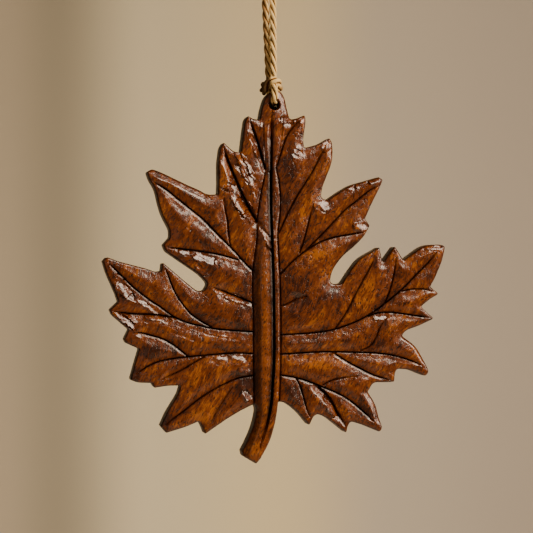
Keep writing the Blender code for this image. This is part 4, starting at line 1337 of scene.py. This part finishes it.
    def close_behind(self, leaf: bpy.types.Object) -> None:
        """Draw the rim back to the flat back, fill it and chamfer its edge.

        Args:
            leaf: the front sheet, which becomes a closed solid.
        """
        select_only(leaf)
        bpy.ops.object.mode_set(mode="EDIT")
        bpy.ops.mesh.select_mode(type="VERT")
        bpy.ops.mesh.select_all(action="SELECT")
        bpy.ops.mesh.delete_loose()
        bpy.ops.mesh.select_mode(type="EDGE")
        bpy.ops.mesh.select_all(action="DESELECT")
        bpy.ops.mesh.select_non_manifold(extend=False, use_wire=False, use_multi_face=False,
                                         use_non_contiguous=False, use_verts=False)
        for depth in (self.back_y - self.back_chamfer, self.back_y):
            bpy.ops.mesh.extrude_edges_move()
            bpy.ops.transform.resize(value=(1.0, 0.0, 1.0), center_override=(0.0, depth, 0.0))
        bpy.ops.mesh.fill(use_beauty=True)
        bpy.ops.mesh.select_all(action="SELECT")
        bpy.ops.mesh.normals_make_consistent(inside=False)
        bpy.ops.object.mode_set(mode="OBJECT")
        self.draw_in_back(leaf)
        bpy.ops.object.shade_smooth_by_angle(angle=math.radians(38.0))

    def draw_in_back(self, leaf: bpy.types.Object) -> None:
        """Move the back's edge inwards by the chamfer.

        Args:
            leaf: the closed leaf.
        """
        mesh = leaf.data
        run = np.roll(self.outline, -1, axis=0) - np.roll(self.outline, 1, axis=0)
        inward = np.column_stack((-run[:, 1], run[:, 0]))
        inward /= np.linalg.norm(inward, axis=1)[:, None]
        moves = {}
        for (x, z), (dx, dz) in zip(self.outline, inward):
            moves[(round(x * 1e6), round(z * 1e6))] = (dx, dz)
        for vert in mesh.vertices:
            if abs(vert.co.y - self.back_y) < 1e-6:
                move = moves.get((round(vert.co.x * 1e6), round(vert.co.z * 1e6)))
                if move is not None:
                    vert.co.x += move[0] * self.back_chamfer * 0.8
                    vert.co.z += move[1] * self.back_chamfer * 0.8

    def write_values(self, leaf: bpy.types.Object) -> None:
        """Store the staining and painted shade, the crests and the shade, which the waxed wood
        reads by name.

        Args:
            leaf: the closed leaf.
        """
        mesh = leaf.data
        places = np.empty(len(mesh.vertices) * 3)
        mesh.vertices.foreach_get("co", places)
        places = places.reshape(-1, 3)
        height, stain_and_shade, crest = self.relief(places[:, [0, 2]])
        on_front = np.abs(self.back_y - places[:, 1] - height) < self.front_tolerance
        from_hole = np.linalg.norm(places[:, [0, 2]] - self.hole_centre, axis=1)
        # Painted shade on the walls and the back, and painted shadow on the hole's wall
        stain_and_shade = np.where(on_front, stain_and_shade, self.stain_and_shade.walls)
        stain_and_shade = np.where(~on_front & (from_hole < self.hole_radius * 1.05), self.stain_and_shade.hole, stain_and_shade)
        crest = np.where(on_front, crest, 0.0)
        shade = self.shade(places[:, [0, 2]])
        for name, values in (("stain_and_shade", stain_and_shade), ("crest", crest), ("shade", shade)):
            layer = mesh.attributes.new(name, "FLOAT", "POINT")
            layer.data.foreach_set("value", values.astype(np.float32))


@dataclass(frozen=True)
class Wrap:
    """A closed wrap of the knot: half its width and depth, its heights, thickness and start."""

    half: tuple[float, float]
    low: float
    rise: float
    askew: float
    thickness: float
    start: float


@dataclass(frozen=True)
class TwinePaintedShade:
    """Where the twine is painted darker, and how strongly: painted shade on its left, painted
    shadow in the hole and under the knot, and a browner right edge.
    """

    left_start: float = -0.0010
    left_blend: float = 0.0010
    right_start: float = 0.0028
    right_blend: float = 0.0014
    hole_below_knot: float = 0.0032
    hole_blend: float = 0.0012
    board_start: float = 0.0002
    board_blend: float = 0.0010
    knot_blend: float = 0.0015
    left_painted_shade: float = 0.76
    right_edge_brown: float = 0.55
    hole_painted_shadow: float = 0.97
    knot_painted_shadow: float = 0.74


@dataclass
class Twine:
    """The doubled twine: its loop, its knot over the tip, and its run through the hole."""

    drawing: LeafDrawing
    back_y: float
    front_y: float
    diameter: float = 0.0031
    lead: float = 0.0145
    aside: float = -0.00045
    lay: Ply = Ply.S_LAID
    bend_in_diameters: float = 2.15
    knot_foot: float = -0.0701
    knot_height: float = 0.0068
    knot_top_gap: float = 0.0003
    ring_step: float = 0.0004
    sides: int = 14
    ply_radius_share: float = 0.255
    ply_offset_share: float = 0.253
    ply_swell: float = 0.07
    swell_length: float = 0.0030
    hair_count: int = 150
    wear: TwinePaintedShade = TwinePaintedShade()
    wraps: tuple[Wrap, ...] = (
        Wrap((3.25 * MM, 4.3 * MM), 0.0, 3.8 * MM, 0.35 * MM, 3.7 * MM, 1.05),
        Wrap((1.5 * MM, 2.2 * MM), 3.4 * MM, 0.0, 0.0, 3.0 * MM, 1.9))

    def lean_at(self, z: float) -> float:
        """How far to the right the twine stands at a height, because it hangs askew."""
        away = self.aside * min(1.0, -z / 0.030) if z < 0.0 else 0.0
        return self.drawing.lean * z / -self.drawing.drop + away

    def loop_route(self) -> np.ndarray:
        """Lay the route of the loop: up one strand, round the bend and down the other.

        Returns:
            The route's points as rows.
        """
        shares = ((0.00, 0.25, 0.52), (0.08, 0.27, 0.51), (0.20, 0.33, 0.44),
                  (0.35, 0.43, 0.30), (0.50, 0.51, 0.12), (0.60, 0.56, 0.00),
                  (0.72, 0.75, 0.00), (0.84, 1.20, 0.00), (0.94, 1.85, 0.00))
        bend = self.bend_in_diameters * self.diameter
        bend_height = self.diameter / 2.0 - bend
        foot = self.knot_foot + self.knot_height + self.knot_top_gap
        right = []
        for share, spread, forward in shares:
            z = foot + share * (bend_height - foot)
            right.append((self.lean_at(z) + spread * self.diameter, -forward * self.diameter, z))
        over = []
        for turn in (0.0, 45.0, 90.0, 135.0, 180.0):
            angle = math.radians(turn)
            over.append((bend * math.cos(angle), 0.0, bend_height + bend * math.sin(angle)))
        left = [(2.0 * self.lean_at(z) - x, -y, z) for x, y, z in reversed(right)]
        sunk = 1.6 * MM
        foot_right = [(right[0][0] - 0.1 * MM, right[0][1], right[0][2] - sunk)]
        foot_left = [(left[-1][0] + 0.1 * MM, left[-1][1], left[-1][2] - sunk)]
        return smooth_line(np.array(foot_right + right + over + left + foot_left),
                           self.ring_step)

    def passage_route(self) -> np.ndarray:
        """Lay the route from inside the knot, down the front, through the hole and up the back.

        Returns:
            The route's points as rows.
        """
        bend = self.diameter * 0.53
        lean = self.drawing.lean - 0.3 * MM
        top = -self.drawing.drop + 2.2 * MM + bend
        over_tip = self.knot_foot
        front = [(lean - 0.3 * MM, self.front_y + 1.6 * MM, over_tip + 4.6 * MM),
                 (lean - 0.2 * MM, self.front_y + 0.2 * MM, over_tip + 2.8 * MM),
                 (lean, self.front_y - 1.0 * MM, over_tip + 0.6 * MM),
                 (lean, self.front_y - bend * 0.92, (over_tip + top) / 2.0)]
        for turn in (0.0, 35.0, 70.0):
            angle = math.radians(turn)
            front.append((lean, self.front_y - bend * math.cos(angle),
                          top - bend * math.sin(angle)))
        low = -self.drawing.drop - 1.05 * MM
        aside = lean + 1.22 * MM
        back = [(aside, self.back_y - 1.2 * MM, low),
                (aside, self.back_y + 0.9 * MM, low + 0.2 * MM),
                (aside, self.back_y + bend, low + 2.2 * MM),
                (lean, self.back_y + bend * 0.92, (over_tip + top) / 2.0),
                (lean, self.back_y + 1.0 * MM, over_tip + 0.6 * MM),
                (lean - 0.2 * MM, self.back_y - 0.4 * MM, over_tip + 2.8 * MM),
                (lean - 0.3 * MM, self.back_y - 2.0 * MM, over_tip + 4.6 * MM)]
        middle = [(lean + 0.5 * MM, self.front_y + 2.6 * MM, low + 1.9 * MM)]
        return smooth_line(np.array(front + middle + back), self.ring_step)

    def saddle(self, wrap: Wrap) -> np.ndarray:
        """Lay a wrap of the knot, high in front and behind and low at its sides.

        Args:
            wrap: its sizes. Its low side is measured from the knot's foot.

        Returns:
            The wrap's points as rows, the last one before the first.
        """
        count = math.ceil(2.0 * math.pi * max(wrap.half) / self.ring_step)
        turns = np.arange(count) * 2.0 * math.pi / count
        arch = 1.0 - np.cos(turns) ** 4
        height = self.knot_foot + wrap.low + wrap.rise * arch + wrap.askew * np.cos(turns)
        x = self.lean_at(self.knot_foot) - 0.15 * MM + wrap.half[0] * np.cos(turns)
        return np.column_stack((x, wrap.half[1] * np.sin(turns), height))

    def plies(self, route: np.ndarray, diameter: float, closed: bool,
              start: float) -> tuple[np.ndarray, list, np.ndarray, np.ndarray]:
        """Wind three plies about a route.

        Args:
            route: the centreline's points.
            diameter: the twine's diameter there.
            closed: whether the route runs back into its start.
            start: the angle at which the first ply starts.

        Returns:
            Vertices, faces, a UV place for each vertex in millimetres, and how deep each vertex
            lies in the hollow between two plies, which the material darkens as painted shade.
        """
        ahead = np.roll(route, -1, axis=0) if closed else np.vstack((route[1:], route[-1:]))
        behind = np.roll(route, 1, axis=0) if closed else np.vstack((route[:1], route[:-1]))
        tangent = ahead - behind
        tangent /= np.linalg.norm(tangent, axis=1)[:, None]
        gaps = np.linalg.norm(np.diff(route, axis=0), axis=1)
        passed = np.concatenate(((0.0,), np.cumsum(gaps)))
        normal = np.empty_like(route)
        guide = np.array((0.0, 0.0, 1.0) if closed else (0.0, -1.0, 0.0))
        for index, direction in enumerate(tangent):
            if closed:
                guide = np.array((0.0, 0.0, 1.0))
            guide = guide - direction * (guide @ direction)
            guide /= np.linalg.norm(guide)
            normal[index] = guide
        side = np.cross(tangent, normal)
        total = passed[-1] + (np.linalg.norm(route[0] - route[-1]) if closed else 0.0)
        turns = max(1, round(total / self.lead)) if closed else total / self.lead
        spin = start + self.lay.value * 2.0 * math.pi * turns * passed / total
        ply_radius = diameter * self.ply_radius_share
        offset = diameter * self.ply_offset_share
        verts, faces, uvs, ply_gap_shade = [], [], [], []
        angles = np.arange(self.sides) * 2.0 * math.pi / self.sides
        for ply in range(3):
            phase = spin + ply * 2.0 * math.pi / 3.0
            out = normal * np.cos(phase)[:, None] + side * np.sin(phase)[:, None]
            sideways = -normal * np.sin(phase)[:, None] + side * np.cos(phase)[:, None]
            thicker = [noise.noise(Vector((s / self.swell_length, ply * 7.7, start)))
                       for s in passed]
            swell = 1.0 + self.ply_swell * np.array(thicker)
            base = len(verts) * self.sides
            for index in range(len(route)):
                ring = (route[index] + out[index] * offset
                        + ply_radius * swell[index] * (np.cos(angles)[:, None] * out[index]
                                                       + np.sin(angles)[:, None]
                                                       * sideways[index]))
                verts.append(ring)
                uvs.append(np.column_stack((angles * ply_radius / MM + ply * 11.0
                                            + self.lay.value * passed[index] / MM * 0.18,
                                            np.full(self.sides, passed[index] / MM))))
                # How deep in the hollow between the plies, for painted shade
                ply_gap_shade.append(np.clip(0.35 - np.cos(angles), 0.0, 1.0))
            last = len(route) if closed else len(route) - 1
            for index in range(last):
                here = base + index * self.sides
                there = base + ((index + 1) % len(route)) * self.sides
                for k in range(self.sides):
                    after = (k + 1) % self.sides
                    faces.append((here + k, here + after, there + after, there + k))
            if not closed:
                faces.append(tuple(base + k for k in reversed(range(self.sides))))
                end = base + (len(route) - 1) * self.sides
                faces.append(tuple(end + k for k in range(self.sides)))
        return np.vstack(verts), faces, np.vstack(uvs), np.concatenate(ply_gap_shade)

    def wound(self, name: str, parts: list[tuple[np.ndarray, float, bool, float]],
              finish: bpy.types.Material) -> bpy.types.Object:
        """Make one piece of wound twine.

        Args:
            name: the piece's name.
            parts: for each stretch its route, diameter, whether it is closed, and start angle.
            finish: its material.

        Returns:
            The piece.
        """
        verts, faces, uvs, ply_gap_shade, count = [], [], [], [], 0
        for route, diameter, closed, start in parts:
            made = self.plies(route, diameter, closed, start)
            verts.append(made[0])
            faces += [tuple(count + k for k in face) for face in made[1]]
            uvs.append(made[2])
            ply_gap_shade.append(made[3])
            count += len(made[0])
        piece = mesh_object(name, np.vstack(verts), faces, True)
        places = np.vstack(uvs)
        layer = piece.data.uv_layers.new(name="fibres")
        corner_verts = np.empty(len(piece.data.loops), dtype=np.int32)
        piece.data.loops.foreach_get("vertex_index", corner_verts)
        layer.data.foreach_set("uv", places[corner_verts].astype(np.float32).ravel())
        shade_and_edge_brown, painted_shadow = self.shade_and_browning(np.vstack(verts))
        for label, each in (("ply_gap_shade", np.concatenate(ply_gap_shade)), ("shade_and_edge_brown", shade_and_edge_brown), ("painted_shadow", painted_shadow)):
            values = piece.data.attributes.new(label, "FLOAT", "POINT")
            values.data.foreach_set("value", each.astype(np.float32))
        select_only(piece)
        bpy.ops.object.mode_set(mode="EDIT")
        bpy.ops.mesh.select_all(action="SELECT")
        bpy.ops.mesh.normals_make_consistent(inside=False)
        bpy.ops.object.mode_set(mode="OBJECT")
        piece.data.materials.append(finish)
        return piece

    def shade_and_browning(self, places: np.ndarray) -> tuple[np.ndarray, np.ndarray]:
        """Paint the twine darker: painted shade on its left, a browner right edge, and painted
        shadow in the hole and under the knot's left side.

        Args:
            places: rows of x, y and z.

        Returns:
            How much shade brown and how much shadow black each place takes, from 0 to 1.
        """
        wear = self.wear
        across = places[:, 0] - np.array([self.lean_at(z) for z in places[:, 2]])
        height, depth = places[:, 2], places[:, 1]
        left = np.clip((wear.left_start - across) / wear.left_blend, 0.0, 1.0)
        right = np.clip((across - wear.right_start) / wear.right_blend, 0.0, 1.0)
        below = np.clip((self.knot_foot - wear.hole_below_knot - height) / wear.hole_blend,
                        0.0, 1.0)
        in_board = np.clip((depth - self.front_y - wear.board_start) / wear.board_blend, 0.0, 1.0)
        top = self.knot_foot + self.knot_height
        knotted = np.clip((top - height) / wear.knot_blend, 0.0, 1.0)
        # Painted shade on the left, where the right strand shades it; painted shadow inside the
        # hole and under the knot's left side
        return (np.maximum(wear.left_painted_shade * left, wear.right_edge_brown * right),
                np.maximum(wear.hole_painted_shadow * below * in_board, wear.knot_painted_shadow * left * knotted))

    def hairs(self, routes: list[np.ndarray], finish: bpy.types.Material) -> bpy.types.Object:
        """Let loose fibres stand off the twine.

        Args:
            routes: the centrelines that they stand on.
            finish: their material.

        Returns:
            One piece that holds all of them.
        """
        chance = np.random.default_rng(7)
        line = np.vstack(routes)
        verts, faces = [], []
        for _ in range(self.hair_count):
            index = int(chance.integers(1, len(line) - 1))
            run = line[index + 1] - line[index - 1]
            if np.linalg.norm(run) > 4.0 * self.ring_step:
                continue
            run = run / np.linalg.norm(run)
            out = chance.normal(size=3)
            out -= run * (out @ run)
            out /= np.linalg.norm(out)
            length = chance.uniform(0.8, 2.4) * MM
            lean = chance.uniform(0.5, 1.6) * chance.choice((-1.0, 1.0))
            thick = chance.uniform(0.030, 0.050) * MM
            across = np.cross(run, out)
            base = len(verts)
            for piece in range(5):
                t = piece / 4.0
                centre = (line[index] + out * (self.diameter * 0.42 + length * t * 0.55)
                          + run * length * lean * t * t * 0.6
                          + across * length * 0.25 * math.sin(3.0 * t))
                for corner in range(3):
                    angle = corner * 2.0 * math.pi / 3.0
                    verts.append(centre + thick * (1.05 - t) * (math.cos(angle) * across
                                                                + math.sin(angle) * run))
            for piece in range(4):
                for corner in range(3):
                    a = base + piece * 3 + corner
                    b = base + piece * 3 + (corner + 1) % 3
                    faces.append((a, b, b + 3, a + 3))
            faces.append((base + 2, base + 1, base))
            faces.append((base + 12, base + 13, base + 14))
        piece = mesh_object("twine_hairs", np.array(verts), faces, True)
        piece.data.materials.append(finish)
        return piece

    def build(self, finish: bpy.types.Material) -> list[bpy.types.Object]:
        """Make the loop, the knot, the run through the hole and the loose fibres.

        Args:
            finish: their material.

        Returns:
            The pieces.
        """
        route = self.loop_route()
        passage = self.passage_route()
        wraps = [(self.saddle(wrap), wrap.thickness, True, wrap.start) for wrap in self.wraps]
        loop = self.wound("twine_loop_wound", [(route, self.diameter, False, 0.9)], finish)
        knot = self.wound("twine_knot_tied", wraps, finish)
        through = self.wound("twine_run_through_hole",
                             [(passage, self.diameter * 0.98, False, 2.2)], finish)
        hairs = self.hairs([route, passage], finish)
        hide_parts("twine_loop")
        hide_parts("twine_knot")
        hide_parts("twine_through_hole")
        for piece in (loop, knot, through, hairs):
            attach(piece, "root")
        return [loop, knot, through, hairs]


@dataclass(frozen=True)
class SoftLamp:
    """A soft lamp: its place and the place it faces, from the middle of the leaf, and its light."""

    name: str
    place: tuple[float, float, float]
    size: tuple[float, float]
    watts: float
    colour: str
    faces: tuple[float, float, float] = (0.0, 0.0, 0.0)


@dataclass
class Studio:
    """The camera, soft lamps, backdrop and floor."""

    drawing: LeafDrawing
    lamps: tuple[SoftLamp, ...] = (
        SoftLamp("key_lamp", (0.727, -0.974, 0.879), (0.80, 0.80), 23.0, "#FFEBD3"),
        SoftLamp("side_lamp", (1.28, -0.90, 0.42), (0.50, 0.90), 13.5, "#FFE3C8"),
        SoftLamp("fill_lamp", (-0.9, -1.3, 0.3), (1.2, 1.2), 1.0, "#FFEBD2"),
        SoftLamp("wall_lamp", (-0.3, 0.1, -0.32), (1.0, 1.0), 14.0, "#FFF1E0",
                 (-0.1, 1.5, -0.55)))
    sky: str = "#B8A68C"
    sky_strength: float = 0.14
    aim: tuple[float, float, float] = (-0.00140, -0.0033, -0.14739)
    lens: float = 100.5
    backdrop_y: float = 1.5
    floor_z: float = -0.95
    wall_tones: tuple[tuple[float, str], ...] = (
        (0.08, "#A69880"), (0.16, "#938973"), (0.30, "#D0C3A2"), (0.48, "#DDCBA1"),
        (0.66, "#C3B8A4"), (0.86, "#BEB3A2"))

    def place_camera(self) -> None:
        """Set up the camera where the drawing is seen from."""
        camera = bpy.data.cameras.new("camera")
        camera.lens = self.lens
        camera.clip_start = 0.01
        made = bpy.data.objects.new("camera", camera)
        bpy.context.scene.collection.objects.link(made)
        turn = self.drawing.turn
        back = Vector((-math.sin(turn), -math.cos(turn), 0.0))
        made.location = Vector(self.aim) + back * self.drawing.distance
        made.rotation_euler = (-back).to_track_quat("-Z", "Y").to_euler()
        bpy.context.scene.camera = made

    def hang(self, lamp: SoftLamp) -> None:
        """Hang a soft lamp, which lights the scene and isn't seen itself."""
        light = bpy.data.lights.new(lamp.name, "AREA")
        light.shape = "RECTANGLE"
        light.size, light.size_y = lamp.size
        light.energy = lamp.watts
        light.color = linear(lamp.colour)[:3]
        made = bpy.data.objects.new(lamp.name, light)
        bpy.context.scene.collection.objects.link(made)
        made.location = Vector(self.aim) + Vector(lamp.place)
        way = Vector(lamp.faces) - Vector(lamp.place)
        made.rotation_euler = way.to_track_quat("-Z", "Y").to_euler()
        made.visible_camera = False

    def build(self) -> None:
        """Light the leaf and stand the backdrop and the floor."""
        for lamp in self.lamps:
            self.hang(lamp)
        world = bpy.data.worlds.new("studio")
        world.use_nodes = True
        shade = world.node_tree.nodes["Background"]
        shade.inputs["Color"].default_value = linear(self.sky)
        shade.inputs["Strength"].default_value = self.sky_strength
        bpy.context.scene.world = world
        self.stand("backdrop", (0.0, self.backdrop_y, self.floor_z + 2.0), (6.0, 4.0),
                   math.radians(90.0), MattPaint("beige_wall_paint", self.wall_tones))
        self.stand("floor", (0.0, 0.0, self.floor_z), (6.0, 6.0), 0.0,
                   MattPaint("pale_floor_paint", ((0.0, "#D2C8B8"), (1.0, "#D8CFC0"))))

    @staticmethod
    def stand(name: str, place: tuple[float, float, float], size: tuple[float, float],
              tilt: float, paint: MattPaint) -> None:
        """Stand a painted board that belongs to the studio.

        Args:
            name: its name.
            place: its middle.
            size: its two sides.
            tilt: how far it is tipped up from lying flat.
            paint: its finish.
        """
        bpy.ops.object.select_all(action="DESELECT")
        bpy.ops.mesh.primitive_grid_add(x_subdivisions=4, y_subdivisions=4, size=1.0,
                                        location=place, rotation=(tilt, 0.0, 0.0))
        board = bpy.context.active_object
        board.name = name
        board.scale = (size[0], size[1], 1.0)
        bpy.ops.object.transform_apply(location=True, rotation=True, scale=True)
        board.data.materials.append(paint.build())


def main() -> None:
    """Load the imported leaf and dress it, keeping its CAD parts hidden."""
    logging.basicConfig(level=logging.INFO, format="%(message)s")
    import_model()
    drawing = LeafDrawing()
    studio = Studio(drawing)
    studio.place_camera()
    leaf = CarvedLeaf(drawing)
    over_hole = np.array(((drawing.lean, -drawing.drop + leaf.hole_radius * 1.6),))
    front_y = leaf.back_y - float(leaf.relief(over_hole)[0][0])
    twine = Twine(drawing, leaf.back_y, front_y)
    for piece in twine.build(NaturalTwine().build()):
        LOG.info("%s: %d faces", piece.name, len(piece.data.polygons))
    carved = leaf.build(WaxedCarvedWood().build())
    LOG.info("%s: %d faces", carved.name, len(carved.data.polygons))
    studio.build()


if __name__ == "__main__":
    main()
